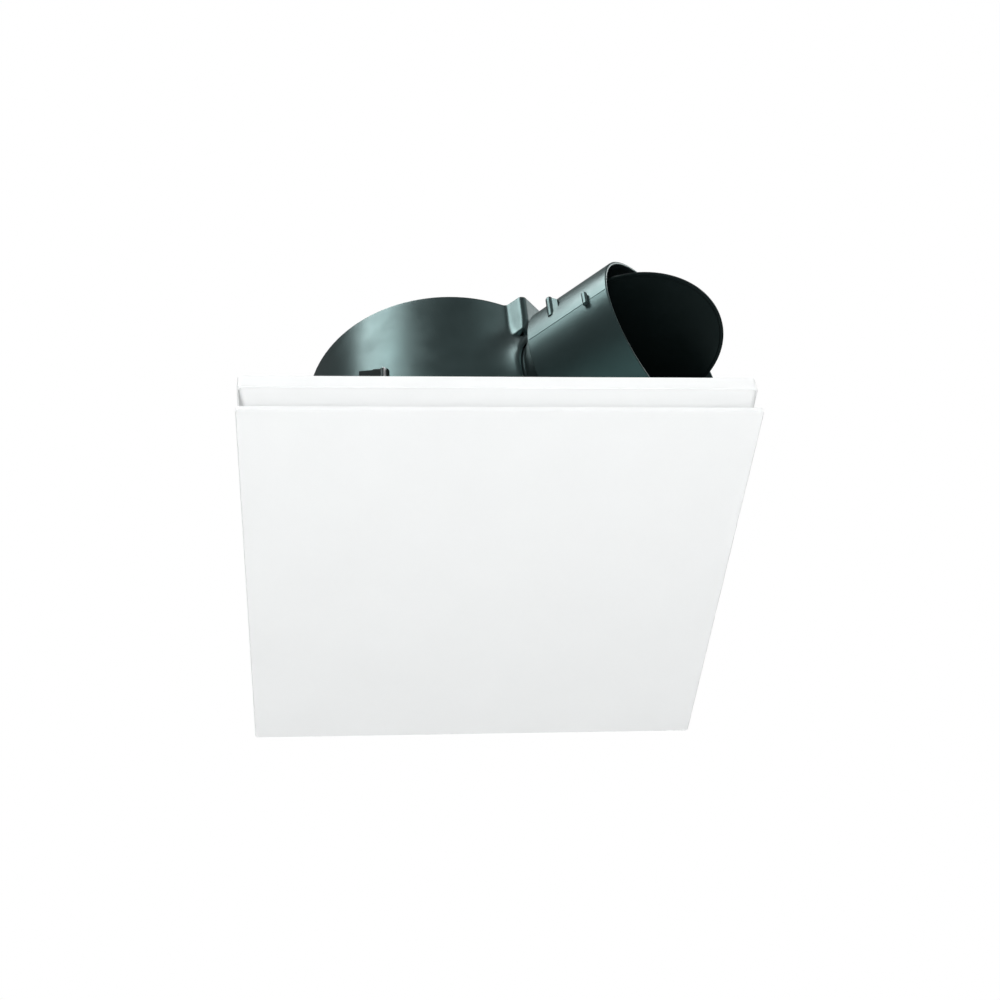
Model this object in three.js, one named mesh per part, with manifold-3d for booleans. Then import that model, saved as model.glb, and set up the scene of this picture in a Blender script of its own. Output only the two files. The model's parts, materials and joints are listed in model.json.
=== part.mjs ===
// Side-ducted ceiling extractor fan: a flat square fascia hung under a square frame, a drum with the motor
// and impeller inside it, and a round outlet spigot with a backdraught damper on the drum's side.
// Millimetres, +Z up. The origin is the centre of the fascia's lower face. The outlet points towards +X -Y.

import * as THREE from "three";
import { mergeVertices } from "three/addons/utils/BufferGeometryUtils.js";
import Module from "manifold-3d";

const wasm = await Module();
wasm.setup();

// ---------------------------------------------------------------- driving dimensions
const GAP = 0.3; // clearance between pieces that touch
const DEG = Math.PI / 180;
const LARGE = 40; // segments round a large, a middling and a small circle
const MIDDLE = 24;
const SMALL = 12;

const FASCIA_SIDE = 350;
const FASCIA_THICK = 4;

const FRAME_LIP = 9; // height of the skirt's lower edge, so a 5 mm air slot runs round under it
const FRAME_LIP_INSET = 5; // how far the lower edge stands in from the fascia's edge
const FRAME_SHOULDER = 23.4; // height where the tapered skirt meets the upright band
const FRAME_SHOULDER_INSET = 1;
const FRAME_TOP = 34.2; // the face that lies against the ceiling
const FRAME_WALL = 2.5;
const FRAME_PLATE = 3;
const FRAME_OPENING = 104;

const DRUM_X = -21.7;
const DRUM_RADIUS = 111;
const DRUM_WALL = 2.5;
const DRUM_TOP = 204;
const DRUM_FLANGE = 128;
const DRUM_FLANGE_THICK = 3;
const SEAT_RADIUS = 129; // round recess in the frame's top that takes the drum's flange
const SEAT = FRAME_TOP - DRUM_FLANGE_THICK - GAP;
const SEAT_UNDERSIDE = SEAT - FRAME_PLATE;
const DRUM_FLOOR = SEAT + GAP;

const OUTLET_HEADING = -43 * DEG; // direction of the outlet's axis in plan
const OUTLET_SIDE = -4.6; // how far the axis passes to the side of the origin
const OUTLET_HEIGHT = 120.5;
const OUTLET_LIP = 94; // distances along the axis, from the point nearest the origin
const OUTLET_BOX_FRONT = 101.7;
const OUTLET_COLLAR = 113.5;
const OUTLET_MOUTH = 185;
const OUTLET_BOX_HALF = 56;
const OUTLET_BOX_CHIN = 175; // height where the box's front face ends and slopes back
const OUTLET_BOX_FOOT = 164;
const OUTLET_BOX_SLOPE = 3.6; // how far the foot of the front face lies behind its chin
const OUTLET_BOX_CHAMFER = 3;
const SOCKET_RADIUS = 62;
const SOCKET_BORE = 59.7;
const NECK_RADIUS = 59;
const NECK_BORE = 57.2;
const NECK_END = 98; // where the neck starts to widen towards the collar
const CONE_RADIUS = 71.5; // where the cone meets the collar's back face
const SPIGOT_RADIUS = 75; // standard 150 mm duct slips over it
const SPIGOT_WALL = 2.5;

const FLAP_RADIUS = 67;
const FLAP_THICK = 2;
const HINGE_RISE = 25; // the hinge lies this far above the outlet's axis
const HINGE_ALONG = 135;
const KNUCKLE_RADIUS = 4;
const SPINDLE_RADIUS = 1.5;

const TIP_RADIUS = 98.5;
const HUB_RADIUS = 42;
const HUB_WALL = 2.5;
const HUB_NOSE = 48.5;
const BLADES = 7;
const BLADE_LOW = 47;
const BLADE_HIGH = 92;

const SHAFT_RADIUS = 4;
const MOTOR_RADIUS = 48;
const MOTOR_LOW = 112;
const MOTOR_HIGH = 190;
const MOTOR_SPLIT = 150;
const MOTOR_PLATE = 3;
const MOTOR_BOLT_CIRCLE = 51;
const BOLT_LUG = 14; // height of each cover's bolt lugs
const MOUNT_CIRCLE = 60;
const MOUNT_HOLE = 2.5;
const THIRDS = [0, 1, 2];

const CLAMP_ANGLES = [-117, 14, 128];
const CLAMP_CIRCLE = 118;
const CLAMP_TOP = 121;
const CLAMP_HEIGHT = 13;
const CLAMP_REACH = 18;
const CLAMP_SCREW_RADIUS = 2;
const CLAMP_SCREW_TOP = 124;
const CLAMP_HOLE = 2.5;
const ARM_TURN = 21; // parked, the arm stands this many degrees off the drum's tangent
const ARM_HALF_WIDTH = 4;
const ARM_BAR_HEIGHT = 9;
const SLOT_TURN = 40; // the boss's slot faces this many degrees off the spoke

const FRAME_SCREW_ANGLES = [-52, 71, 185];
const FRAME_SCREW_CIRCLE = 120;
const FRAME_SCREW_HOLE = 2.3;

const STUD_PLACE = 145; // fascia studs stand at plus and minus this in X and Y
const POST_TOP = 14;

const BOX_ANGLE = 150; // terminal box, on the far side of the drum from the outlet
const BOX_HALF_WIDTH = 32;
const BOX_LOW = 60;
const BOX_HIGH = 112;
const BOX_FACE = 140;
const BOX_WALL = 2.5;
const LID_FACE = 142.8;
const GLAND_ACROSS = -16;
const LEAD_HEIGHT = 103;

// ---------------------------------------------------------------- materials
function plastic(color, roughness) {
  return new THREE.MeshStandardMaterial({ color, roughness, metalness: 0 });
}

function metal(color, roughness) {
  return new THREE.MeshStandardMaterial({ color, roughness, metalness: 1 });
}

const WHITE = plastic(0xf1f3f3, 0.45);
const DARK = plastic(0x3a4545, 0.4);
const BLACK = plastic(0x111414, 0.5);
const NYLON = plastic(0xdcdcd4, 0.5);
const RUBBER = plastic(0x1a1a1a, 0.8);
const STEEL = metal(0xb8bcc0, 0.35);
const ZINC = metal(0xc9ccce, 0.3);
const LAMINATION = metal(0x6d7074, 0.5);
const COPPER = metal(0xb06a3c, 0.4);
const ALUMINIUM = metal(0xc4c6c8, 0.45);

// ---------------------------------------------------------------- shapes and booleans
// Every basic shape stands on the Z axis, and a piece is placed by its group or by a matrix.

function ring(outer, inner, low, high, segments = SMALL) {
  return lathe([[inner, low], [outer, low], [outer, high], [inner, high]], segments);
}

function disc(radius, low, high, segments = SMALL) {
  return lathe([[0, low], [radius, low], [radius, high], [0, high]], segments);
}

// A solid of revolution from [radius, height] points listed anticlockwise.
function lathe(points, segments = SMALL) {
  const onAxis = points[0][0] === 0;
  const closed = onAxis ? points : [...points, points[0]];
  const outline = closed.map(([radius, height]) => new THREE.Vector2(radius, height));
  return new THREE.LatheGeometry(outline, segments).rotateX(Math.PI / 2);
}

function slab(x0, x1, y0, y1, z0, z1) {
  const block = new THREE.BoxGeometry(x1 - x0, y1 - y0, z1 - z0);
  return block.translate((x0 + x1) / 2, (y0 + y1) / 2, (z0 + z1) / 2);
}

// A square block whose half-width changes from its lower face to its upper one.
function squareTaper(lowHalf, highHalf, low, high) {
  const block = new THREE.CylinderGeometry(highHalf * Math.SQRT2, lowHalf * Math.SQRT2, high - low, 4);
  block.rotateX(Math.PI / 2).rotateZ(Math.PI / 4);
  return block.translate(0, 0, (low + high) / 2);
}

function extrude(points, depth) {
  const shape = new THREE.Shape(points.map(([x, y]) => new THREE.Vector2(x, y)));
  return new THREE.ExtrudeGeometry(shape, { depth, bevelEnabled: false });
}

function hexagon(radius, low, high) {
  return new THREE.CylinderGeometry(radius, radius, high - low, 6)
    .rotateX(Math.PI / 2)
    .translate(0, 0, (low + high) / 2);
}

function solid(geometry, matrix) {
  const bare = geometry.index ? geometry.toNonIndexed() : geometry.clone();
  bare.deleteAttribute("normal");
  bare.deleteAttribute("uv");
  if (matrix) bare.applyMatrix4(matrix);
  const merged = mergeVertices(bare, 1e-3);
  const mesh = new wasm.Mesh({
    numProp: 3,
    vertProperties: merged.attributes.position.array,
    triVerts: new Uint32Array(merged.index.array),
  });
  return new wasm.Manifold(mesh);
}

function geometryOf(manifold) {
  const mesh = manifold.getMesh();
  const geometry = new THREE.BufferGeometry();
  geometry.setAttribute("position", new THREE.BufferAttribute(mesh.vertProperties, 3));
  geometry.setIndex(new THREE.BufferAttribute(mesh.triVerts, 1));
  return geometry;
}

function asSolid(thing) {
  return thing.isBufferGeometry ? solid(thing) : thing;
}

function join(first, ...others) {
  return others.reduce((sum, other) => sum.add(asSolid(other)), asSolid(first));
}

function cut(first, ...others) {
  return others.reduce((rest, other) => rest.subtract(asSolid(other)), asSolid(first));
}

function mesh(name, shape, material) {
  const geometry = shape.isBufferGeometry ? shape : geometryOf(shape);
  const piece = new THREE.Mesh(geometry, material);
  piece.name = name;
  return piece;
}

function onCircle(radius, degrees) {
  return new THREE.Vector2(radius * Math.cos(degrees * DEG), radius * Math.sin(degrees * DEG));
}

// ---------------------------------------------------------------- groups
const fan = new THREE.Group();

// The drum's own axis: everything round inside it is built here.
const drumAxis = new THREE.Group();
drumAxis.position.x = DRUM_X;
fan.add(drumAxis);

// The outlet's frame: its X is sideways, its Y is up and its Z runs out along the spigot.
const outlet = new THREE.Group();
const outletSide = new THREE.Vector3(-Math.sin(OUTLET_HEADING), Math.cos(OUTLET_HEADING), 0);
const outletUp = new THREE.Vector3(0, 0, 1);
const outletOut = new THREE.Vector3(Math.cos(OUTLET_HEADING), Math.sin(OUTLET_HEADING), 0);
const outletTurn = new THREE.Matrix4().makeBasis(outletSide, outletUp, outletOut);
outlet.quaternion.setFromRotationMatrix(outletTurn);
outlet.position.copy(outletSide).multiplyScalar(OUTLET_SIDE).setZ(OUTLET_HEIGHT);
outlet.updateMatrix();
fan.add(outlet);

// A group on the drum's axis, turned so that its X points out at the given angle.
function spoke(degrees) {
  const group = new THREE.Group();
  group.rotation.z = degrees * DEG;
  drumAxis.add(group);
  return group;
}

// Screws and studs stand at their own place on the drum's axis.
function standing(radius, degrees) {
  const group = spoke(degrees);
  const place = new THREE.Group();
  place.position.x = radius;
  group.add(place);
  return place;
}

function holeAt(radius, degrees, holeRadius, low, high) {
  const place = onCircle(radius, degrees);
  return disc(holeRadius, low, high).translate(place.x, place.y, 0);
}

// ---------------------------------------------------------------- fascia
function corners() {
  const places = [];
  for (const x of [-STUD_PLACE, STUD_PLACE]) {
    for (const y of [-STUD_PLACE, STUD_PLACE]) places.push([x, y]);
  }
  return places;
}

function fasciaPanel() {
  const half = FASCIA_SIDE / 2;
  let panel = asSolid(slab(-half, half, -half, half, 0, FASCIA_THICK));
  const inner = half - 20;
  const rib = cut(
    slab(-inner, inner, -inner, inner, FASCIA_THICK - 1, FASCIA_THICK + 2),
    slab(-inner + 2, inner - 2, -inner + 2, inner - 2, 0, FASCIA_THICK + 3),
  );
  panel = join(panel, rib);
  for (const [x, y] of corners()) {
    panel = join(panel, disc(7, FASCIA_THICK - 1, POST_TOP).translate(x, y, 0));
  }
  return mesh("fascia_panel", panel, WHITE);
}

// A push-in stud: base on the post, stem, and a barbed head that snaps into the frame's socket.
function fasciaStud(number, x, y) {
  const base = POST_TOP + GAP;
  const outline = [
    [0, base], [5, base], [5, base + 1.5], [2.6, base + 1.5], [2.6, base + 7],
    [4.6, base + 8.5], [4.6, base + 10], [2.4, base + 13], [0, base + 13],
  ];
  const stud = mesh(`fascia_stud_${number}`, lathe(outline), NYLON);
  stud.position.set(x, y, 0);
  return stud;
}

fan.add(fasciaPanel());
corners().forEach(([x, y], index) => fan.add(fasciaStud(index + 1, x, y)));

// ---------------------------------------------------------------- frame
// Holes for the clamp screws and the frame screws, through the frame's seat and the drum's flange.
function flangeHoles(low, high) {
  const clampHole = (angle) => holeAt(CLAMP_CIRCLE, angle, CLAMP_HOLE, low, high);
  const screwHole = (angle) => holeAt(FRAME_SCREW_CIRCLE, angle, FRAME_SCREW_HOLE, low, high);
  return [...CLAMP_ANGLES.map(clampHole), ...FRAME_SCREW_ANGLES.map(screwHole)];
}

function grilleFrame() {
  const half = FASCIA_SIDE / 2;
  const lipHalf = half - FRAME_LIP_INSET;
  const shoulderHalf = half - FRAME_SHOULDER_INSET;
  const roof = FRAME_TOP - FRAME_PLATE;
  const shell = join(
    squareTaper(lipHalf, shoulderHalf, FRAME_LIP, FRAME_SHOULDER),
    slab(-half, half, -half, half, FRAME_SHOULDER, FRAME_TOP),
  );
  const hollow = join(
    squareTaper(lipHalf - FRAME_WALL, shoulderHalf - FRAME_WALL, FRAME_LIP, FRAME_SHOULDER),
    squareTaper(lipHalf - FRAME_WALL, lipHalf - FRAME_WALL, FRAME_LIP - 1, FRAME_LIP + 1),
    squareTaper(shoulderHalf - FRAME_WALL, shoulderHalf - FRAME_WALL, FRAME_SHOULDER - 1, roof),
  );
  const seatWall = disc(SEAT_RADIUS + FRAME_PLATE, SEAT_UNDERSIDE, FRAME_TOP, LARGE);
  const collar = ring(FRAME_OPENING + 3, FRAME_OPENING, SEAT_UNDERSIDE - 4, SEAT_UNDERSIDE + 1, LARGE);
  let frame = join(cut(shell, hollow), seatWall.translate(DRUM_X, 0, 0), collar.translate(DRUM_X, 0, 0));
  for (const [x, y] of corners()) {
    frame = join(frame, disc(8, POST_TOP + 6, roof + 1).translate(x, y, 0));
    frame = cut(frame, disc(5.4, POST_TOP, roof - 1).translate(x, y, 0));
  }
  const holes = [
    disc(FRAME_OPENING, 0, FRAME_TOP + 1, LARGE),
    disc(SEAT_RADIUS, SEAT, FRAME_TOP + 1, LARGE),
    ...flangeHoles(SEAT_UNDERSIDE - 1, SEAT + 1),
  ];
  frame = cut(frame, ...holes.map((hole) => hole.translate(DRUM_X, 0, 0)));
  return mesh("grille_frame", frame, WHITE);
}

function frameScrew(number, degrees) {
  const head = SEAT_UNDERSIDE - GAP;
  const outline = [
    [0, head - 3], [3, head - 3], [4.2, head - 1.6], [4.2, head], [1.9, head],
    [1.9, DRUM_FLOOR + 7], [0, DRUM_FLOOR + 8.5],
  ];
  standing(FRAME_SCREW_CIRCLE, degrees).add(mesh(`frame_screw_${number}`, lathe(outline), ZINC));
}

fan.add(grilleFrame());
FRAME_SCREW_ANGLES.forEach((angle, index) => frameScrew(index + 1, angle));

// ---------------------------------------------------------------- drum
// The bell mouth that guides the air into the impeller.
function inletRing() {
  const inner = TIP_RADIUS + 2.5;
  const outline = [
    [inner + 2, DRUM_FLOOR], [DRUM_RADIUS - DRUM_WALL - 2 * GAP, DRUM_FLOOR],
    [DRUM_RADIUS - DRUM_WALL - 2 * GAP, DRUM_FLOOR + 2], [inner + 2, DRUM_FLOOR + 5],
    [inner + 2, DRUM_FLOOR + 26], [inner, DRUM_FLOOR + 26], [inner, DRUM_FLOOR + 4],
  ];
  return mesh("inlet_ring", lathe(outline, LARGE), DARK);
}

// The square hood over the outlet, as a side view in [along, height] swept across the box's width.
function outletHood(half, front, top, drop) {
  const side = [
    [60, OUTLET_BOX_FOOT - drop], [front - OUTLET_BOX_SLOPE, OUTLET_BOX_FOOT - drop],
    [front, OUTLET_BOX_CHIN - drop], [front, top], [60, top],
  ];
  const hood = extrude(side.map(([along, height]) => [along, height - OUTLET_HEIGHT]), 2 * half);
  return hood.rotateY(-Math.PI / 2).translate(half, 0, 0);
}

// A bar that trims each upright front edge of the hood at 45 degrees.
function hoodChamfer(side) {
  const size = OUTLET_BOX_CHAMFER * Math.SQRT2;
  return slab(-size / 2, size / 2, -10, 100, -size / 2, size / 2)
    .rotateY(Math.PI / 4)
    .translate(side * OUTLET_BOX_HALF, 0, OUTLET_BOX_FRONT);
}

function drumHousing() {
  const bore = DRUM_RADIUS - DRUM_WALL;
  const toOutlet = new THREE.Matrix4().copy(outlet.matrix).premultiply(
    new THREE.Matrix4().makeTranslation(-DRUM_X, 0, 0),
  );
  const skin = disc(DRUM_RADIUS, DRUM_FLOOR, DRUM_TOP, LARGE);
  const flange = disc(DRUM_FLANGE, DRUM_FLOOR, DRUM_FLOOR + DRUM_FLANGE_THICK, LARGE);
  const hood = cut(
    outletHood(OUTLET_BOX_HALF, OUTLET_BOX_FRONT, DRUM_TOP, 0),
    hoodChamfer(-1),
    hoodChamfer(1),
  ).transform(toOutlet.elements);
  const socket = solid(disc(SOCKET_RADIUS, 60, OUTLET_LIP, LARGE), toOutlet);
  const hoodHollow = solid(
    outletHood(OUTLET_BOX_HALF - DRUM_WALL, OUTLET_BOX_FRONT - DRUM_WALL, DRUM_TOP - DRUM_WALL, 2),
    toOutlet,
  );
  const hollow = join(
    disc(bore, DRUM_FLOOR - 1, DRUM_TOP - DRUM_WALL, LARGE),
    solid(disc(SOCKET_BORE, 60, OUTLET_LIP + 1, LARGE), toOutlet),
    solid(disc(SOCKET_RADIUS + GAP, OUTLET_LIP, OUTLET_MOUTH, LARGE), toOutlet),
    hoodHollow.subtract(solid(disc(SOCKET_RADIUS, 60, OUTLET_MOUTH, LARGE), toOutlet)),
  );
  const holes = flangeHoles(0, DRUM_FLOOR + 10);
  for (const third of THIRDS) {
    holes.push(holeAt(MOUNT_CIRCLE, 120 * third, MOUNT_HOLE, DRUM_TOP - 10, DRUM_TOP + 1));
  }
  const leadHole = disc(5.3, DRUM_RADIUS - 10, DRUM_RADIUS + 10).rotateY(Math.PI / 2);
  holes.push(leadHole.rotateZ(BOX_ANGLE * DEG).translate(0, 0, LEAD_HEIGHT));
  const drum = cut(join(skin, flange, hood, socket), hollow, ...holes);
  return mesh("drum_housing", drum, DARK);
}

drumAxis.add(inletRing(), drumHousing());

// ---------------------------------------------------------------- outlet spigot and damper
const HINGE_HALF = Math.sqrt(SPIGOT_RADIUS ** 2 - HINGE_RISE ** 2);

// An arc of rib inside the spigot that the closed flap rests against.
function seatRib(low, high, keepLow, keepHigh) {
  const inner = FLAP_RADIUS - 3.5;
  const hoop = ring(SPIGOT_RADIUS - 1, inner, low, high, LARGE);
  const past = SPIGOT_RADIUS + 5;
  const belowArc = slab(-past, past, -past, keepLow, low - 1, high + 1);
  const aboveArc = slab(-past, past, keepHigh, past, low - 1, high + 1);
  return cut(hoop, belowArc, aboveArc);
}

// The boss that holds one end of the spindle: a short round boss with an upright web.
function hingeBoss(side) {
  const from = HINGE_HALF - 3;
  const to = HINGE_HALF + 5;
  const round = disc(4.5, from, to).rotateY(side * 90 * DEG).translate(0, HINGE_RISE, HINGE_ALONG);
  const web = slab(
    Math.min(side * from, side * to), Math.max(side * from, side * to),
    HINGE_RISE - 8, HINGE_RISE + 9, HINGE_ALONG - 2, HINGE_ALONG + 2,
  );
  return join(round, web);
}

// A small upright peg on the moulding's parting line.
function partingPeg(side) {
  const peg = disc(2.4, -6, 10).rotateX(-Math.PI / 2);
  return peg.translate(side * (SPIGOT_RADIUS + 0.6), 0, OUTLET_MOUTH - 18);
}

function outletSpigot() {
  const bore = SPIGOT_RADIUS - SPIGOT_WALL;
  const outline = [
    [NECK_BORE, OUTLET_LIP - 7], [NECK_RADIUS, OUTLET_LIP - 7], [NECK_RADIUS, NECK_END],
    [CONE_RADIUS, OUTLET_COLLAR], [SPIGOT_RADIUS, OUTLET_COLLAR], [SPIGOT_RADIUS, OUTLET_MOUTH],
    [bore, OUTLET_MOUTH], [bore, OUTLET_COLLAR + SPIGOT_WALL],
    [CONE_RADIUS - 2, OUTLET_COLLAR + 1.5], [NECK_BORE, NECK_END + 1.5],
  ];
  const lower = seatRib(HINGE_ALONG - 6, HINGE_ALONG - 3, -SPIGOT_RADIUS, HINGE_RISE - 8);
  const upper = seatRib(HINGE_ALONG + 3, HINGE_ALONG + 6, HINGE_RISE + 8, SPIGOT_RADIUS);
  const outside = join(lathe(outline, LARGE), hingeBoss(-1), hingeBoss(1), partingPeg(-1), partingPeg(1));
  const inside = disc(bore, OUTLET_COLLAR + SPIGOT_WALL, OUTLET_MOUTH + 1, LARGE);
  const shell = join(cut(outside, inside), lower, upper);
  const spindleHole = disc(SPINDLE_RADIUS + GAP, -HINGE_HALF - 3, HINGE_HALF + 3).rotateY(Math.PI / 2);
  return mesh("outlet_spigot", cut(shell, spindleHole.translate(0, HINGE_RISE, HINGE_ALONG)), DARK);
}

function damperSpindle() {
  const reach = HINGE_HALF + 2.5;
  const rod = disc(SPINDLE_RADIUS, -reach, reach).rotateY(Math.PI / 2);
  const spindle = mesh("damper_spindle", rod, STEEL);
  spindle.position.set(0, HINGE_RISE, HINGE_ALONG);
  return spindle;
}

// The flap lies level when it is open. Closed, it hangs down across the spigot, centred on its axis.
function damperFlap() {
  const face = disc(FLAP_RADIUS, -FLAP_THICK / 2, FLAP_THICK / 2, LARGE).rotateX(Math.PI / 2);
  const knuckleHalf = Math.sqrt(FLAP_RADIUS ** 2 - HINGE_RISE ** 2) - 2;
  const knuckle = disc(KNUCKLE_RADIUS, -knuckleHalf, knuckleHalf).rotateY(Math.PI / 2);
  const bore = disc(SPINDLE_RADIUS + GAP, -80, 80).rotateY(Math.PI / 2);
  const flap = cut(join(face.translate(0, 0, HINGE_RISE), knuckle), bore);
  const piece = mesh("damper_flap", flap, BLACK);
  piece.position.set(0, HINGE_RISE, HINGE_ALONG);
  return piece;
}

outlet.add(outletSpigot(), damperSpindle(), damperFlap());

// ---------------------------------------------------------------- impeller
// One twisted blade: steep at the hub and flatter at the tip, with its chord wrapped round the axis.
function blade(degrees) {
  const root = HUB_RADIUS - 1.5;
  const rise = BLADE_HIGH - BLADE_LOW;
  const plate = new THREE.BoxGeometry(TIP_RADIUS - root, 2.2, 1, 4, 1, 3);
  const point = new THREE.Vector3();
  const positions = plate.attributes.position;
  for (let i = 0; i < positions.count; i++) {
    point.fromBufferAttribute(positions, i);
    const radius = root + (TIP_RADIUS - root) / 2 + point.x;
    const outward = (radius - root) / (TIP_RADIUS - root);
    const pitch = (58 - 24 * outward) * DEG;
    const chord = (rise * (0.96 - 0.06 * outward)) / Math.sin(pitch);
    const along = point.z * chord;
    const bow = 5 * (1 - 4 * point.z * point.z);
    const offset = bow - point.y;
    const sideways = along * Math.cos(pitch) - offset * Math.sin(pitch);
    const height = along * Math.sin(pitch) + offset * Math.cos(pitch);
    const turn = sideways / radius + degrees * DEG;
    positions.setXYZ(i, radius * Math.cos(turn), radius * Math.sin(turn), BLADE_LOW + rise / 2 + height);
  }
  return plate;
}

function impeller() {
  const inner = HUB_RADIUS - HUB_WALL;
  const hub = lathe([
    [SHAFT_RADIUS + GAP, 50], [10, HUB_NOSE], [22, 49.5], [33, 53.5], [39.5, 60.5], [HUB_RADIUS, 69],
    [HUB_RADIUS, 97], [inner, 97], [inner, 70], [37, 62.5], [31.5, 56.5], [21, 52.5], [9, 52],
    [9, 90], [SHAFT_RADIUS + GAP, 90],
  ], MIDDLE);
  let wheel = asSolid(hub);
  for (let i = 0; i < BLADES; i++) wheel = join(wheel, blade((360 / BLADES) * i));
  return mesh("impeller", wheel, BLACK);
}

function impellerNut() {
  const nut = cut(hexagon(7.5, HUB_NOSE - 5, HUB_NOSE - GAP), disc(SHAFT_RADIUS + GAP, 40, 52));
  return mesh("impeller_nut", nut, ZINC);
}

drumAxis.add(impeller(), impellerNut());

// ---------------------------------------------------------------- motor
const BEARING_LOW = MOTOR_LOW + MOTOR_PLATE + GAP;
const BEARING_HIGH = MOTOR_HIGH - MOTOR_PLATE - GAP;
const BEARING_DEPTH = 6;
const STACK_LOW = 137;
const STACK_HIGH = 165;

function motorShaft() {
  const outline = [
    [0, 42], [SHAFT_RADIUS - 0.5, 42], [SHAFT_RADIUS, 42.5], [SHAFT_RADIUS, STACK_LOW - 4],
    [SHAFT_RADIUS + 1.5, STACK_LOW - 4], [SHAFT_RADIUS + 1.5, STACK_HIGH + 4], [SHAFT_RADIUS, STACK_HIGH + 4],
    [SHAFT_RADIUS, MOTOR_HIGH - MOTOR_PLATE - 1], [0, MOTOR_HIGH - MOTOR_PLATE - 1],
  ];
  return mesh("motor_shaft", lathe(outline), STEEL);
}

function rotorCore() {
  const core = ring(20, SHAFT_RADIUS + 1.5 + GAP, STACK_LOW - 1, STACK_HIGH + 1, MIDDLE);
  return mesh("rotor_core", core, ALUMINIUM);
}

// Laminated ring with teeth that point at the rotor.
function statorCore() {
  let core = asSolid(ring(MOTOR_RADIUS - 3.5, 20.8, STACK_LOW, STACK_HIGH, MIDDLE));
  for (let i = 0; i < 8; i++) {
    const slot = slab(25, 37, -4, 4, STACK_LOW - 1, STACK_HIGH + 1);
    const mouth = slab(18, 26, -1, 1, STACK_LOW - 1, STACK_HIGH + 1);
    core = cut(core, slot.rotateZ(45 * i * DEG), mouth.rotateZ(45 * i * DEG));
  }
  return mesh("stator_core", core, LAMINATION);
}

// The bundle of wire that stands out of the slots at one end of the stator.
function winding(name, low, high) {
  return mesh(name, ring(38, 26, low, high, MIDDLE), COPPER);
}

function bearing(name, low) {
  return mesh(name, ring(11, SHAFT_RADIUS + GAP, low, low + BEARING_DEPTH, MIDDLE), STEEL);
}

// Lugs for the through bolts, cut away where they would stand inside the covers.
function boltLugs(low, high) {
  return THIRDS.map((third) => {
    const place = onCircle(MOTOR_BOLT_CIRCLE, 120 * third + 60);
    const lug = disc(5, low, high).translate(place.x, place.y, 0);
    return cut(lug, disc(MOTOR_RADIUS - 2, MOTOR_LOW, MOTOR_HIGH, MIDDLE));
  });
}

function boltHoles() {
  return THIRDS.map((third) => holeAt(MOTOR_BOLT_CIRCLE, 120 * third + 60, 1.9, MOTOR_LOW, MOTOR_HIGH));
}

function ventHoles(low, high) {
  return [30, 90, 150, 210, 270, 330].map((angle) => holeAt(31, angle, 5, low, high));
}

function motorCoverLower() {
  const inner = MOTOR_RADIUS - 3;
  const floor = MOTOR_LOW + MOTOR_PLATE;
  const high = MOTOR_SPLIT - GAP / 2;
  const cup = lathe([
    [SHAFT_RADIUS + 1.5, MOTOR_LOW], [MOTOR_RADIUS - 3, MOTOR_LOW], [MOTOR_RADIUS, MOTOR_LOW + 4],
    [MOTOR_RADIUS, high], [inner, high], [inner, floor], [14, floor], [14, floor + 6],
    [11.3, floor + 6], [11.3, floor], [SHAFT_RADIUS + 1.5, floor],
  ], MIDDLE);
  const cover = join(cup, ...boltLugs(MOTOR_SPLIT - BOLT_LUG, high));
  const vents = ventHoles(MOTOR_LOW - 1, floor + 1);
  return mesh("motor_cover_lower", cut(cover, ...boltHoles(), ...vents), ALUMINIUM);
}

// The upper cover also carries the three ears that hang the motor from the drum's roof.
function motorCoverUpper() {
  const inner = MOTOR_RADIUS - 3;
  const ceiling = MOTOR_HIGH - MOTOR_PLATE;
  const low = MOTOR_SPLIT + GAP / 2;
  const cup = lathe([
    [0, ceiling], [11.3, ceiling], [11.3, ceiling - 6], [14, ceiling - 6], [14, ceiling], [inner, ceiling],
    [inner, low], [MOTOR_RADIUS, low], [MOTOR_RADIUS, MOTOR_HIGH - 4], [MOTOR_RADIUS - 3, MOTOR_HIGH],
    [0, MOTOR_HIGH],
  ], MIDDLE);
  const ears = THIRDS.map((third) => {
    const arm = slab(30, MOUNT_CIRCLE, -8, 8, ceiling, MOTOR_HIGH);
    const tip = disc(8, ceiling, MOTOR_HIGH).translate(MOUNT_CIRCLE, 0, 0);
    const hole = disc(MOUNT_HOLE, ceiling - 1, MOTOR_HIGH + 1).translate(MOUNT_CIRCLE, 0, 0);
    return cut(join(arm, tip), hole).rotate([0, 0, 120 * third]);
  });
  const cover = join(cup, ...ears, ...boltLugs(low, MOTOR_SPLIT + BOLT_LUG));
  return mesh("motor_cover_upper", cut(cover, ...boltHoles()), ALUMINIUM);
}

function motorBolt(number) {
  const head = MOTOR_SPLIT - BOLT_LUG - GAP;
  const end = MOTOR_SPLIT + BOLT_LUG + 2;
  const outline = [[0, head - 3], [2.7, head - 3], [2.7, head], [1.6, head], [1.6, end], [0, end]];
  standing(MOTOR_BOLT_CIRCLE, 120 * number - 60).add(mesh(`motor_bolt_${number}`, lathe(outline), ZINC));
}

function rubberMount(number) {
  const low = MOTOR_HIGH + GAP;
  const high = DRUM_TOP - DRUM_WALL - GAP;
  const outline = [
    [2.6, low], [7.5, low], [7.5, low + 3], [5.8, low + 4],
    [5.8, high - 4], [7.5, high - 3], [7.5, high], [2.6, high],
  ];
  standing(MOUNT_CIRCLE, 120 * (number - 1)).add(mesh(`rubber_mount_${number}`, lathe(outline), RUBBER));
}

function mountScrew(number) {
  const seat = DRUM_TOP + GAP;
  const outline = [
    [0, MOTOR_HIGH - 8], [2.1, MOTOR_HIGH - 7], [2.1, seat],
    [4.6, seat], [4.6, seat + 1.4], [3.2, seat + 3], [0, seat + 3],
  ];
  standing(MOUNT_CIRCLE, 120 * (number - 1)).add(mesh(`mount_screw_${number}`, lathe(outline), ZINC));
}

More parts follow.
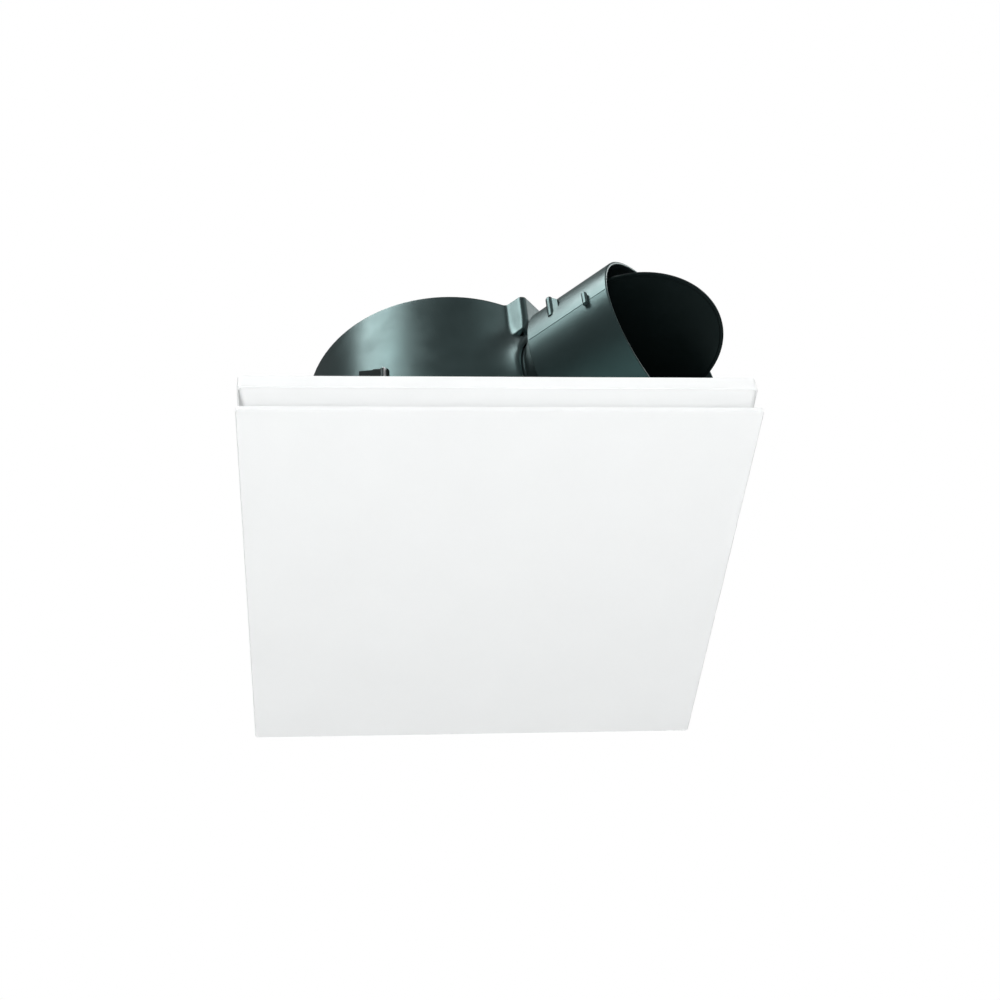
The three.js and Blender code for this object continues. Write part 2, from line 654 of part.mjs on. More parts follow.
// Heat-sensitive switch strapped on the lower winding.
function thermalCutout() {
  const switchBody = slab(27, 36, -7, 7, STACK_LOW - 15 - GAP, STACK_LOW - 11 - GAP);
  return mesh("thermal_cutout", switchBody, BLACK);
}

drumAxis.add(motorShaft(), rotorCore(), statorCore(), thermalCutout());
drumAxis.add(winding("lower_winding", STACK_LOW - 11, STACK_LOW - GAP));
drumAxis.add(winding("upper_winding", STACK_HIGH + GAP, STACK_HIGH + 12));
drumAxis.add(bearing("lower_bearing", BEARING_LOW), bearing("upper_bearing", BEARING_HIGH - BEARING_DEPTH));
drumAxis.add(motorCoverLower(), motorCoverUpper());
for (const number of [1, 2, 3]) {
  motorBolt(number);
  rubberMount(number);
  mountScrew(number);
}

// ---------------------------------------------------------------- ceiling clamps
function clampScrew(number, degrees) {
  const head = SEAT_UNDERSIDE - GAP;
  const outline = [
    [0, head - 3.5], [3.5, head - 3.5], [4.6, head - 2], [4.6, head], [CLAMP_SCREW_RADIUS, head],
    [CLAMP_SCREW_RADIUS, CLAMP_SCREW_TOP - 1], [CLAMP_SCREW_RADIUS - 0.8, CLAMP_SCREW_TOP],
    [0, CLAMP_SCREW_TOP],
  ];
  const screw = mesh(`clamp_screw_${number}`, lathe(outline), ZINC);
  standing(CLAMP_CIRCLE, degrees).add(screw);
}

// Parked, the arm lies alongside the drum. It swings out to grip the ceiling board from above.
function clampArm(number, degrees) {
  const foot = CLAMP_TOP - CLAMP_HEIGHT;
  const bar = (near, far, height) =>
    slab(near, far, -CLAMP_REACH, 0, foot, foot + height).rotateZ(ARM_TURN * DEG);
  const body = join(
    disc(5, foot, CLAMP_TOP),
    bar(-ARM_HALF_WIDTH, ARM_HALF_WIDTH, ARM_BAR_HEIGHT),
    bar(-ARM_HALF_WIDTH, -1, CLAMP_HEIGHT - 1),
  );
  const bore = disc(CLAMP_SCREW_RADIUS + GAP, foot - 1, CLAMP_TOP + 1);
  const window = slab(0, 8, -1.1, 1.1, foot + 3, CLAMP_TOP + 1).rotateZ(SLOT_TURN * DEG);
  const arm = mesh(`clamp_arm_${number}`, cut(body, bore, window), BLACK);
  standing(CLAMP_CIRCLE, degrees).add(arm);
}

CLAMP_ANGLES.forEach((angle, index) => {
  clampScrew(index + 1, angle);
  clampArm(index + 1, angle);
});

// ---------------------------------------------------------------- terminal box
// Its own X points away from the drum.
const boxSpoke = spoke(BOX_ANGLE);
const BOX_BACK = DRUM_RADIUS + 3;
const LID_SCREW_Z = [BOX_LOW + 7, BOX_HIGH - 7];

function lidScrewPlaces() {
  return LID_SCREW_Z.map((height, index) => ({ across: (index ? 1 : -1) * (BOX_HALF_WIDTH - 7), height }));
}

// A round shape along the box's X, at a given place on its face.
function pegOut(radius, from, to, across, height, segments = SMALL) {
  return disc(radius, from, to, segments).rotateY(Math.PI / 2).translate(0, across, height);
}

function terminalBase() {
  const inside = BOX_HALF_WIDTH - BOX_WALL;
  let base = cut(
    slab(DRUM_RADIUS - 8, BOX_FACE, -BOX_HALF_WIDTH, BOX_HALF_WIDTH, BOX_LOW, BOX_HIGH),
    slab(BOX_BACK, BOX_FACE + 1, -inside, inside, BOX_LOW + BOX_WALL, BOX_HIGH - BOX_WALL),
  );
  const tools = [];
  for (const { across, height } of lidScrewPlaces()) {
    base = join(base, pegOut(5.2, BOX_BACK - 1, BOX_FACE, across, height));
    tools.push(pegOut(1.8, BOX_FACE - 12, BOX_FACE + 1, across, height));
  }
  tools.push(disc((DRUM_RADIUS + GAP) / Math.cos(Math.PI / LARGE), 0, 200, LARGE));
  tools.push(pegOut(5.3, DRUM_RADIUS - 9, BOX_BACK + 1, 0, LEAD_HEIGHT));
  tools.push(disc(7.3, BOX_HIGH - 8, BOX_HIGH + 1).translate(BOX_BACK + 13, GLAND_ACROSS, 0));
  return mesh("terminal_base", cut(base, ...tools), DARK);
}

function terminalLid() {
  const lip = BOX_HALF_WIDTH - BOX_WALL - GAP;
  const low = BOX_LOW + BOX_WALL + GAP;
  const high = BOX_HIGH - BOX_WALL - GAP;
  const plate = slab(BOX_FACE + GAP, LID_FACE, -BOX_HALF_WIDTH, BOX_HALF_WIDTH, BOX_LOW, BOX_HIGH);
  const rim = cut(
    slab(BOX_FACE - 2, BOX_FACE + 1, -lip, lip, low, high),
    slab(BOX_FACE - 3, BOX_FACE + GAP, 1.5 - lip, lip - 1.5, low + 1.5, high - 1.5),
  );
  const tools = [];
  for (const { across, height } of lidScrewPlaces()) {
    tools.push(pegOut(6, BOX_FACE - 3, BOX_FACE + GAP, across, height));
    tools.push(pegOut(2, BOX_FACE - 3, LID_FACE + 1, across, height));
  }
  return mesh("terminal_lid", cut(join(plate, rim), ...tools), DARK);
}

function lidScrew(number, { across, height }) {
  const seat = LID_FACE + GAP;
  const outline = [
    [0, BOX_FACE - 10], [1.5, BOX_FACE - 9], [1.5, seat],
    [3.6, seat], [3.6, seat + 1], [2.4, seat + 2.2], [0, seat + 2.2],
  ];
  const screw = mesh(`lid_screw_${number}`, lathe(outline).rotateY(Math.PI / 2), ZINC);
  screw.position.set(0, across, height);
  return screw;
}

function terminalBlock() {
  let block = asSolid(slab(BOX_BACK + GAP, BOX_BACK + 9, -18, 7, 68, 82));
  for (const across of [-14, -5.5, 3]) {
    block = join(block, slab(BOX_BACK + 8, BOX_BACK + 13, across - 3.4, across + 3.4, 70, 80));
    block = cut(block, pegOut(2, BOX_BACK + 7, BOX_BACK + 14, across, 75));
  }
  return mesh("terminal_block", block, NYLON);
}

function runCapacitor() {
  const outline = [[0, -18], [9, -18], [9, 15], [0, 15]];
  const can = mesh("run_capacitor", lathe(outline), WHITE);
  can.position.set(BOX_BACK + 13, 17.5, 83);
  return can;
}

// Supply inlet through the box's top wall, with its locknut inside.
function cableGland() {
  const high = BOX_HIGH + GAP;
  const body = join(
    lathe([
      [4, BOX_HIGH - 8], [7, BOX_HIGH - 8], [7, high], [9, high], [9, high + 2],
      [8, high + 5], [8, high + 10], [6.5, high + 13], [4, high + 13],
    ]),
    cut(hexagon(11, high, high + 5), disc(8, high - 1, high + 6)),
  );
  const gland = mesh("cable_gland", body, BLACK);
  gland.position.set(BOX_BACK + 13, GLAND_ACROSS, 0);
  return gland;
}

function glandNut() {
  const high = BOX_HIGH - BOX_WALL - GAP;
  const nut = mesh("gland_nut", cut(hexagon(10.5, high - 4, high), disc(7 + GAP, high - 5, high + 1)), BLACK);
  nut.position.set(BOX_BACK + 13, GLAND_ACROSS, 0);
  return nut;
}

function leadGrommet() {
  const outline = [
    [2.9, DRUM_RADIUS - 5], [5, DRUM_RADIUS - 5], [5, BOX_BACK + 2], [2.9, BOX_BACK + 2],
  ];
  const grommet = mesh("lead_grommet", lathe(outline).rotateY(Math.PI / 2), RUBBER);
  grommet.position.z = LEAD_HEIGHT;
  return grommet;
}

// The motor's own lead, from the motor cover's side out through the drum wall to the terminal block.
function motorLead() {
  const route = new THREE.CatmullRomCurve3([
    new THREE.Vector3(MOTOR_RADIUS + GAP, 0, 160),
    new THREE.Vector3(MOTOR_RADIUS + 8, 0, 160),
    new THREE.Vector3(MOTOR_RADIUS + 20, 0, 148),
    new THREE.Vector3(DRUM_RADIUS - 24, 0, 112),
    new THREE.Vector3(DRUM_RADIUS - 12, 0, LEAD_HEIGHT),
    new THREE.Vector3(DRUM_RADIUS - 2, 0, LEAD_HEIGHT),
    new THREE.Vector3(BOX_BACK + 6, 0, LEAD_HEIGHT),
    new THREE.Vector3(BOX_BACK + 12, -3, LEAD_HEIGHT - 5),
    new THREE.Vector3(BOX_BACK + 15, -6, 90),
    new THREE.Vector3(BOX_BACK + 10.5, -5.5, 82.5),
  ]);
  const section = new THREE.Shape();
  section.absarc(0, 0, 2.2, 0, 2 * Math.PI);
  const tube = new THREE.ExtrudeGeometry(section, { steps: 24, curveSegments: 4, extrudePath: route });
  return mesh("motor_lead", tube, WHITE);
}

boxSpoke.add(terminalBase(), terminalLid(), terminalBlock(), runCapacitor(), cableGland(), glandNut());
lidScrewPlaces().forEach((place, index) => boxSpoke.add(lidScrew(index + 1, place)));
boxSpoke.add(leadGrommet(), motorLead());

export default fan;
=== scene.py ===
"""Looks for the side-ducted ceiling extractor fan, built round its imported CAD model.

Pieces are built in millimetres in the CAD model's own frame: +Z up, the fascia's lower face at z = 0.
"""

import json
import math

import bmesh
import bpy
import numpy as np
from mathutils import Matrix, Vector


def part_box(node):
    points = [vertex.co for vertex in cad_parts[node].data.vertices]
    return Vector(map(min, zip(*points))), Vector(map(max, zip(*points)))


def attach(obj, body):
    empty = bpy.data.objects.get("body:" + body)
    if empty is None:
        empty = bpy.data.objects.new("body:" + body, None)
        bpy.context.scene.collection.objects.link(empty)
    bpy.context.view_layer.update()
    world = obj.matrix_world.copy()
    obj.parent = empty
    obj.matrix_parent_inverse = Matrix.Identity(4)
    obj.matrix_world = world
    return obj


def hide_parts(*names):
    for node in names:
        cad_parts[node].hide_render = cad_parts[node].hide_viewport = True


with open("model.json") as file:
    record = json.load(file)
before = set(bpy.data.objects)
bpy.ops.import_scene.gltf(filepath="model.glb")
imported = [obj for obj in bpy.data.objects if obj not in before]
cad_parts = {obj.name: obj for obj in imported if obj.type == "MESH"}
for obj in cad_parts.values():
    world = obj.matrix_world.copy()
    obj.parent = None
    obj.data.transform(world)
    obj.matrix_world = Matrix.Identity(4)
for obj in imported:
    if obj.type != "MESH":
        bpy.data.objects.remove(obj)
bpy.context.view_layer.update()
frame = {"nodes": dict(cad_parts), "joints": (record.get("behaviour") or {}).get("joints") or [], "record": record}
MM = 0.001
DEG = math.pi / 180
# segments round a large, a middling and a small circle
FINE = 192
MIDDLE = 96
SMALL = 40


# -------- places taken from the frame
def box_mm(node):
    low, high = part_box(node)
    return low / MM, high / MM


def heights(node):
    low, high = box_mm(node)
    return low.z, high.z


def joint(name):
    return next(j for j in frame["joints"] if j["name"] == name)


def moved(x, y, z):
    return Matrix.Translation((x, y, z))


def rotated(degrees, axis="Z"):
    return Matrix.Rotation(degrees * DEG, 4, axis)


def placed(x_axis, y_axis, z_axis, origin):
    """A matrix whose columns are the three axes and the origin."""
    turn = Matrix((x_axis, y_axis, z_axis)).transposed().to_4x4()
    return Matrix.Translation(origin) @ turn


FASCIA_HIGH = box_mm("fascia_panel")[1]
RING_LOW, RING_HIGH = box_mm("inlet_ring")
DRUM_FLOOR, DRUM_TOP = heights("drum_housing")
FASCIA_HALF = FASCIA_HIGH.x
DRUM_X = (RING_LOW.x + RING_HIGH.x) / 2
DRUM_AXIS = moved(DRUM_X, 0, 0)

UP = Vector((0, 0, 1))
DAMPER = joint("damper_swing")
SIDE = Vector(DAMPER["axis"])
OUT = SIDE.cross(UP)
HINGE = Vector(DAMPER["pos_m"]) / MM
OUTLET_HEIGHT = 120.5
OUTLET_ORIGIN = SIDE * HINGE.dot(SIDE) + UP * OUTLET_HEIGHT
OUTLET = placed(SIDE, UP, OUT, OUTLET_ORIGIN)  # x sideways, y up, z out along the spigot
HINGE_RISE = HINGE.z - OUTLET_HEIGHT
HINGE_ALONG = HINGE.dot(OUT)

# -------- sizes, in millimetres and degrees
SEAT_GAP = 0.3  # left between pieces that lie on each other

# fascia
FASCIA_THICK = 4
FASCIA_CORNER = 2.4
POST_PLACE = 145
POST_TOP = FASCIA_HIGH.z

# grille frame
FRAME_SHOULDER = 23.4
FRAME_PLATE = 3
FRAME_WALL = 2.5
FRAME_OPENING = 104
SEAT_RADIUS = 129
CLAMP_ANGLES = (-117, 14, 128)
CLAMP_CIRCLE = 118
CLAMP_HOLE = 2.5
FRAME_SCREW_ANGLES = (-52, 71, 185)
FRAME_SCREW_CIRCLE = 120
FRAME_SCREW_HOLE = 2.3

# drum, its socket and its hood
DRUM_RADIUS = 111
DRUM_WALL = 2.5
DRUM_FLANGE = 128
RIM_ROUND = 1.8
SOCKET_RADIUS = 62
SOCKET_BORE = 59.7
SOCKET_LIP = 94
HOOD_FRONT = 101.7
HOOD_HALF = 56
HOOD_CHIN = 175
HOOD_FOOT = 164
HOOD_SLOPE = 3.6
HOOD_CORNER = 3
SEARCH_FROM = 80.0  # the drum's skin is looked for between these distances from its axis
SEARCH_TO = 150.0
HALVINGS = 34

# outlet spigot and its flap
SPIGOT_RADIUS = 75
SPIGOT_BORE = 72.5
COLLAR = 113.5
MOUTH = 185
NECK_BORE = 57.2
NECK_RADIUS = 59
NECK_END = 98
CONE_RADIUS = 71.5
HINGE_HALF = math.sqrt(SPIGOT_RADIUS ** 2 - HINGE_RISE ** 2)
FLAP_RADIUS = 67
SEAT_BORE = FLAP_RADIUS - 3.5
PIN_RADIUS = 1.5
PIN_HOLE = 1.8

# ceiling clamps
ARM_TURN = 21  # parked, the arm stands this many degrees off the drum's tangent
SLOT_TURN = 40
ARM_REACH = 18
ARM_HALF_WIDTH = 3.7
ARM_BOSS = 4.2

# impeller
TIP_RADIUS = 98.5
HUB_RADIUS = 42
BLADES = 7
BLADE_LOW = 47
BLADE_HIGH = 92
BLADE_PITCH = 58  # steepness at the hub, in degrees, and how much of it is lost by the tip
BLADE_TWIST = 24
BLADE_CAMBER = 5
BLADE_HALF_THICK = 1.15
SHAFT_HOLE = 4.3

# motor
MOTOR_RADIUS = 48
MOTOR_SPLIT = 150
MOTOR_PLATE = 3
MOUNT_CIRCLE = 60
MOUNT_HOLE = 2.5
BOLT_CIRCLE = 51
BOLT_HOLE = 1.9
BEARING_SEAT = 11.3
BEARING_BOSS = 14
WINDING_RADIUS = 32
WINDING_HALF = 5.9
STACK_LOW = 137
STACK_HIGH = 165

# terminal box
BOX_ANGLE = 150
BOX_HALF = 32
BOX_LOW = 60
BOX_HIGH = 112
BOX_CORNER = 4
BOX_FACE = 140
LID_FACE = 142.8
BOX_BACK = DRUM_RADIUS + 3
LID_SCREWS = ((7 - BOX_HALF, BOX_LOW + 7), (BOX_HALF - 7, BOX_HIGH - 7))
GLAND_PLACE = (BOX_BACK + 13, -16)
GLAND_HOLE = 7.3
LEAD_HEIGHT = 103
LEAD_HOLE = 5.3


def spoke(degrees, radius=0.0):
    """A place on the drum's axis, turned to an angle and moved out along its own X."""
    return DRUM_AXIS @ rotated(degrees) @ moved(radius, 0, 0)


POSTS = [moved(x, y, 0) for x in (-POST_PLACE, POST_PLACE) for y in (-POST_PLACE, POST_PLACE)]
CLAMPS = [spoke(angle, CLAMP_CIRCLE) for angle in CLAMP_ANGLES]
FRAME_SCREWS = [spoke(angle, FRAME_SCREW_CIRCLE) for angle in FRAME_SCREW_ANGLES]
FLANGE_HOLES = [(place, CLAMP_HOLE) for place in CLAMPS]
FLANGE_HOLES += [(place, FRAME_SCREW_HOLE) for place in FRAME_SCREWS]
HINGE_LINE = OUTLET @ (moved(0, HINGE_RISE, HINGE_ALONG) @ rotated(90, "Y"))
MOUNTS = [spoke(120 * third, MOUNT_CIRCLE) for third in range(3)]
BOLTS = [spoke(120 * third + 60, BOLT_CIRCLE) for third in range(3)]
BOX = spoke(BOX_ANGLE)
GLAND = BOX @ moved(*GLAND_PLACE, 0)


def pointing_out(across, height):
    """A place on the terminal box whose Z points away from the drum."""
    return BOX @ moved(0, across, height) @ rotated(90, "Y")


# -------- mesh helpers
def to_object(name, bm, place=None):
    """A Blender object from a mesh in millimetres, put at its place in the CAD frame."""
    if place is not None:
        bm.transform(place)
    bmesh.ops.scale(bm, vec=(MM, MM, MM), verts=bm.verts)
    bmesh.ops.recalc_face_normals(bm, faces=bm.faces)
    data = bpy.data.meshes.new(name)
    bm.to_mesh(data)
    bm.free()
    made = bpy.data.objects.new(name, data)
    bpy.context.scene.collection.objects.link(made)
    return made


def loft(rows, loop=False):
    """Joins outlines of equal length, or single points, into one closed skin."""
    bm = bmesh.new()
    made = [[bm.verts.new(point) for point in row] for row in rows]
    pairs = list(zip(made, made[1:]))
    if loop:
        pairs.append((made[-1], made[0]))
    for low, high in pairs:
        count = max(len(low), len(high))
        for i in range(count):
            j = (i + 1) % count
            corners = (low[i % len(low)], low[j % len(low)], high[j % len(high)], high[i % len(high)])
            bm.faces.new(list(dict.fromkeys(corners)))
    if not loop:
        for row in (made[0], made[-1]):
            if len(row) > 2:
                bm.faces.new(row)
    return bm


def circle(radius, height, segments):
    if radius < 1e-6:
        return [Vector((0, 0, height))]
    turns = [2 * math.pi * i / segments for i in range(segments)]
    return [Vector((radius * math.cos(t), radius * math.sin(t), height)) for t in turns]


def lathe(points, segments=SMALL):
    """A solid of revolution about Z from (radius, height) points."""
    loop = points[0][0] > 0
    return loft([circle(radius, height, segments) for radius, height in points], loop)


def rectangle(x0, x1, y0, y1):
    return [(x0, y0), (x1, y0), (x1, y1), (x0, y1)]


def rod(radius, low, high, segments=SMALL):
    return lathe(rectangle(0, radius, low, high), segments)


def rounded(points, radius, loop=True, steps=4):
    """The outline with each corner turned into an arc, as far as its sides allow."""
    corners = [Vector(p) for p in points]
    result = []
    for i, corner in enumerate(corners):
        if not loop and i in (0, len(corners) - 1):
            result.append(tuple(corner))
            continue
        back = corners[i - 1] - corner
        ahead = corners[(i + 1) % len(corners)] - corner
        half = back.angle(ahead) / 2
        if half > 88 * DEG:
            result.append(tuple(corner))
            continue
        reach = min(radius / math.tan(half), 0.45 * back.length, 0.45 * ahead.length)
        middle = corner + (back.normalized() + ahead.normalized()).normalized() * (reach / math.cos(half))
        start = corner + back.normalized() * reach - middle
        end = corner + ahead.normalized() * reach - middle
        turn = math.atan2(start.x * end.y - start.y * end.x, start.dot(end))
        for k in range(steps + 1):
            angle = turn * k / steps
            spun = Matrix.Rotation(angle, 2) @ start
            result.append(tuple(middle + spun))
    return result


def round_lathe(points, radius, segments=SMALL, steps=4):
    """A lathe whose profile corners are rounded. A profile that starts on the axis also ends there."""
    loop = points[0][0] > 0
    return lathe(rounded(points, radius, loop, steps), segments)


def flat_row(outline, height):
    return [Vector((x, y, height)) for x, y in outline]


def prism(outline, low, high):
    return loft([flat_row(outline, low), flat_row(outline, high)])


def side_prism(outline, low, high):
    """An (along, height) outline swept sideways, in the outlet's frame."""
    return loft([[Vector((side, height, along)) for along, height in outline] for side in (low, high)])


def block(x0, x1, y0, y1, z0, z1):
    return prism(rectangle(x0, x1, y0, y1), z0, z1)


def square(half, corner):
    return rounded(rectangle(-half, half, -half, half), corner, True, 6)


def hexagon(radius):
    return [(radius * math.cos(60 * i * DEG), radius * math.sin(60 * i * DEG)) for i in range(6)]


def apply_modifiers(target):
    graph = bpy.context.evaluated_depsgraph_get()
    data = bpy.data.meshes.new_from_object(target.evaluated_get(graph))
    target.modifiers.clear()
    target.data = data


def tool(bm, place=None):
    return to_object("tool", bm, place)


def combine(target, operation, other, place=None):
    """A boolean with a tool object, or with a mesh at its place. Either is used up."""
    if isinstance(other, bmesh.types.BMesh):
        other = tool(other, place)
    step = target.modifiers.new(operation.lower(), "BOOLEAN")
    step.operation = operation
    step.solver = "MANIFOLD"
    step.object = other
    apply_modifiers(target)
    bpy.data.objects.remove(other)
    return target


def join(target, other, place=None):
    return combine(target, "UNION", other, place)


def cut(target, other, place=None):
    return combine(target, "DIFFERENCE", other, place)


def soften(target, width, angle=30, segments=2):
    """Rounds every edge sharper than the angle, by a width in millimetres."""
    bevel = target.modifiers.new("bevel", "BEVEL")
    bevel.width = width * MM
    bevel.segments = segments
    bevel.limit_method = "ANGLE"
    bevel.angle_limit = angle * DEG
    bevel.miter_outer = "MITER_ARC"
    apply_modifiers(target)
    return target


def shade(target, angle=40):
    """Smooth shading that keeps real edges sharp and flat faces flat."""
    target.data.shade_smooth()
    target.data.set_sharp_from_angle(angle=angle * DEG)
    weigh = target.modifiers.new("weighted", "WEIGHTED_NORMAL")
    weigh.keep_sharp = True
    apply_modifiers(target)
    return target


def finish_piece(target, body, slot, node):
    """Shades a piece, gives it its slot's material, parents it to its body's empty and hides the CAD node it
    stands for.
    """
    shade(target)
    target.data.materials.clear()
    target.data.materials.append(MATERIALS[slot])
    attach(target, body)
    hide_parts(node)


# -------- materials
class Nodes:
    """A material's node tree, with a short way to add and link nodes."""

    def __init__(self, name):
        self.material = bpy.data.materials.new(name)
        self.material.use_nodes = True
        self.tree = self.material.node_tree
        self.shader = self.tree.nodes["Principled BSDF"]
        self.coordinates = self.add("TexCoord").outputs["Object"]

    def fill(self, node, inputs):
        """Each input takes a value, or a link from another node's output."""
        for key, value in inputs.items():
            socket = node.inputs[key.replace("_", " ") if isinstance(key, str) else key]
            if isinstance(value, bpy.types.NodeSocket):
                self.tree.links.new(value, socket)
            else:
                socket.default_value = value
        return node

    def add(self, kind, **inputs):
        return self.fill(self.tree.nodes.new("ShaderNode" + kind), inputs)

    def set(self, **inputs):
        self.fill(self.shader, inputs)

    def stretched(self, scale):
        return self.add("Mapping", Scale=scale, Vector=self.coordinates).outputs["Vector"]

    def noise(self, scale, detail=3.0, roughness=0.5, vector=None):
        vector = vector or self.coordinates
        node = self.add("TexNoise", Scale=scale, Detail=detail, Roughness=roughness, Vector=vector)
        return node.outputs["Fac"]

    def mapped(self, value, low, high, from_low=0.3, from_high=0.7):
        inputs = {"From_Min": from_low, "From_Max": from_high, "To_Min": low, "To_Max": high}
        return self.add("MapRange", Value=value, **inputs).outputs["Result"]

    def mixed(self, value, first, second):
        node = self.add("Mix")
        node.data_type = "RGBA"
        ends = [(*end, 1) if isinstance(end, tuple) else end for end in (first, second)]
        return self.fill(node, {"Factor": value, 6: ends[0], 7: ends[1]}).outputs[2]

    def bump(self, height, distance, strength=1.0, **normal):
        """A bump in millimetres. normal takes another bump's output, to lie on top of it."""
        node = self.add("Bump", Height=height, Distance=distance * MM, Strength=strength, **normal)
        return node.outputs["Normal"]

    def upward(self):
        """How far a surface faces up, from 0 to 1, where dust settles."""
        parts = self.add("SeparateXYZ", Vector=self.add("NewGeometry").outputs["Normal"])
        return self.mapped(parts.outputs["Z"], 0.0, 1.0, 0.6, 1.0)

    def times(self, first, second):
        node = self.add("Math")
        node.operation = "MULTIPLY"
        return self.fill(node, {0: first, 1: second}).outputs["Value"]


def shift(colour, factor):
    return tuple(min(1.0, part * factor) for part in colour)


def moulded(name, colour, roughness, grain=0.02, tint=(1, 1, 1), specular=0.5, dusty=0.0, uneven=1.0):
    """Moulded plastic: faint flow clouding, an uneven sheen and a fine tool texture."""
    nodes = Nodes(name)
    clouds = nodes.mapped(nodes.noise(14, 4), 0, 1)
    base = nodes.mixed(clouds, shift(colour, 1 - 0.1 * uneven), shift(colour, 1 + 0.1 * uneven))
    specks = nodes.mapped(nodes.noise(900, 2), 0, 0.35, 0.55, 0.8)
    base = nodes.mixed(specks, base, shift(colour, 1 + 0.25 * uneven))
    if dusty:
        dust = nodes.times(nodes.upward(), nodes.mapped(nodes.noise(38, 6, 0.65), 0, dusty, 0.35, 0.75))
        base = nodes.mixed(dust, base, (0.33, 0.32, 0.29))
    sheen = nodes.mapped(nodes.noise(46, 5, 0.6), roughness - 0.05 * uneven, roughness + 0.06 * uneven)
    texture = nodes.bump(nodes.noise(1400, 2, 0.6), grain)
    waves = nodes.bump(nodes.noise(22, 1), 0.12 * uneven, 0.5, Normal=texture)
    nodes.set(Base_Color=base, Roughness=sheen, Normal=waves)
    nodes.set(Specular_IOR_Level=specular, Specular_Tint=(*tint, 1))
    return nodes.material


def metal(name, colour, roughness, stretch=(1, 1, 1), scale=300, grain=0.01, metallic=1.0):
    """Metal with a directional or even grain, a little tarnish and fine scratches."""
    nodes = Nodes(name)
    tarnish = nodes.mapped(nodes.noise(60, 5, 0.6), 0, 1)
    base = nodes.mixed(tarnish, shift(colour, 0.86), shift(colour, 1.06))
    lines = nodes.noise(scale, 4, 0.6, nodes.stretched(stretch))
    sheen = nodes.mapped(lines, roughness - 0.08, roughness + 0.12)
    nodes.set(Base_Color=base, Roughness=sheen, Normal=nodes.bump(lines, grain), Metallic=metallic)
    return nodes.material


def rubber(name, colour):
    nodes = Nodes(name)
    bloom = nodes.mapped(nodes.noise(70, 5, 0.65), 0, 1)
    base = nodes.mixed(bloom, colour, shift(colour, 1.7))
    sheen = nodes.mapped(bloom, 0.68, 0.85, 0, 1)
    nodes.set(Base_Color=base, Roughness=sheen, Normal=nodes.bump(nodes.noise(700, 3), 0.03))
    return nodes.material


def copper_wire(name):
    """Enamelled copper wire, laid round the ring in fine turns."""
    nodes = Nodes(name)
    strands = nodes.noise(520, 3, 0.7, nodes.stretched((1, 1, 4)))
    base = nodes.mixed(nodes.mapped(strands, 0, 1), (0.28, 0.085, 0.025), (0.62, 0.25, 0.09))
    nodes.set(Base_Color=base, Normal=nodes.bump(strands, 0.25), Metallic=0.8, Roughness=0.32)
    nodes.set(Coat_Weight=0.5, Coat_Roughness=0.12)
    return nodes.material


def laminations(name):
    """Edges of thin stacked steel sheets."""
    nodes = Nodes(name)
    wave = nodes.add("TexWave", Scale=300, Vector=nodes.coordinates)
    wave.bands_direction = "Z"
    sheets = wave.outputs["Fac"]
    base = nodes.mixed(sheets, (0.12, 0.12, 0.13), (0.36, 0.36, 0.38))
    nodes.set(Base_Color=base, Normal=nodes.bump(sheets, 0.08), Metallic=1.0, Roughness=0.42)
    return nodes.material


MATERIALS = {
    "white_enamel": moulded("white_enamel", (0.87, 0.885, 0.885), 0.42, grain=0.006, uneven=0.08),
    "dark_moulding": moulded(
        "dark_moulding", (0.0150, 0.0215, 0.0220), 0.33, tint=(0.47, 1.0, 0.99), specular=0.70, dusty=0.07
    ),
    "black_moulding": moulded(
        "black_moulding", (0.0025, 0.004, 0.004), 0.42, tint=(0.6, 1, 1), specular=0.2
    ),
    "nylon": moulded("nylon", (0.72, 0.70, 0.62), 0.45),
    "capacitor_case": moulded("capacitor_case", (0.76, 0.76, 0.73), 0.32),
    "lead_sheath": moulded("lead_sheath", (0.66, 0.66, 0.63), 0.5),
    "rubber": rubber("rubber", (0.016, 0.016, 0.017)),
    "bright_steel": metal("bright_steel", (0.56, 0.57, 0.59), 0.26, (1, 1, 9)),
    "zinc_steel": metal("zinc_steel", (0.84, 0.85, 0.86), 0.3, scale=420, metallic=0.45),
    "lamination_steel": laminations("lamination_steel"),
    "enamelled_copper": copper_wire("enamelled_copper"),
    "cast_aluminium": metal("cast_aluminium", (0.60, 0.61, 0.62), 0.46, scale=900, grain=0.05),
}


def dress_cad_nodes():
    """Every CAD node takes its slot's material; the nodes that are rebuilt below are hidden later."""
    for part in frame["record"]["subparts"]:
        data = frame["nodes"][part["node"]].data
        data.materials.clear()
        data.materials.append(MATERIALS[part["material_slot"]])


def turned(node, body, slot, outline, radius, segments=MIDDLE, place=DRUM_AXIS):
    """A piece turned from one outline, with its corners rounded."""
    made = to_object(node + "_fine", round_lathe(outline, radius, segments), place)
    finish_piece(made, body, slot, node)


# -------- fascia
def fascia_panel():
    """A flat plate with soft edges, a stiffening rib and four posts on its hidden side."""
    edge = ((0, 1.0), (0.12, 0.5), (0.4, 0.15), (1.0, 0),
            (FASCIA_THICK - 0.6, 0), (FASCIA_THICK - 0.15, 0.15), (FASCIA_THICK, 0.6))
    rows = [flat_row(square(FASCIA_HALF - inset, FASCIA_CORNER - inset), height) for height, inset in edge]
    panel = to_object("fascia_panel_fine", loft(rows))
    rib = tool(prism(square(FASCIA_HALF - 20, 6), FASCIA_THICK - 1, FASCIA_THICK + 2))
    cut(rib, prism(square(FASCIA_HALF - 22, 4), 0, FASCIA_THICK + 3))
    join(panel, rib)
    for place in POSTS:
        outline = [(0, FASCIA_THICK - 1), (7.6, FASCIA_THICK - 1), (7, POST_TOP), (0, POST_TOP)]
        join(panel, round_lathe(outline, 0.6), place)
    finish_piece(panel, "fascia", "white_enamel", "fascia_panel")


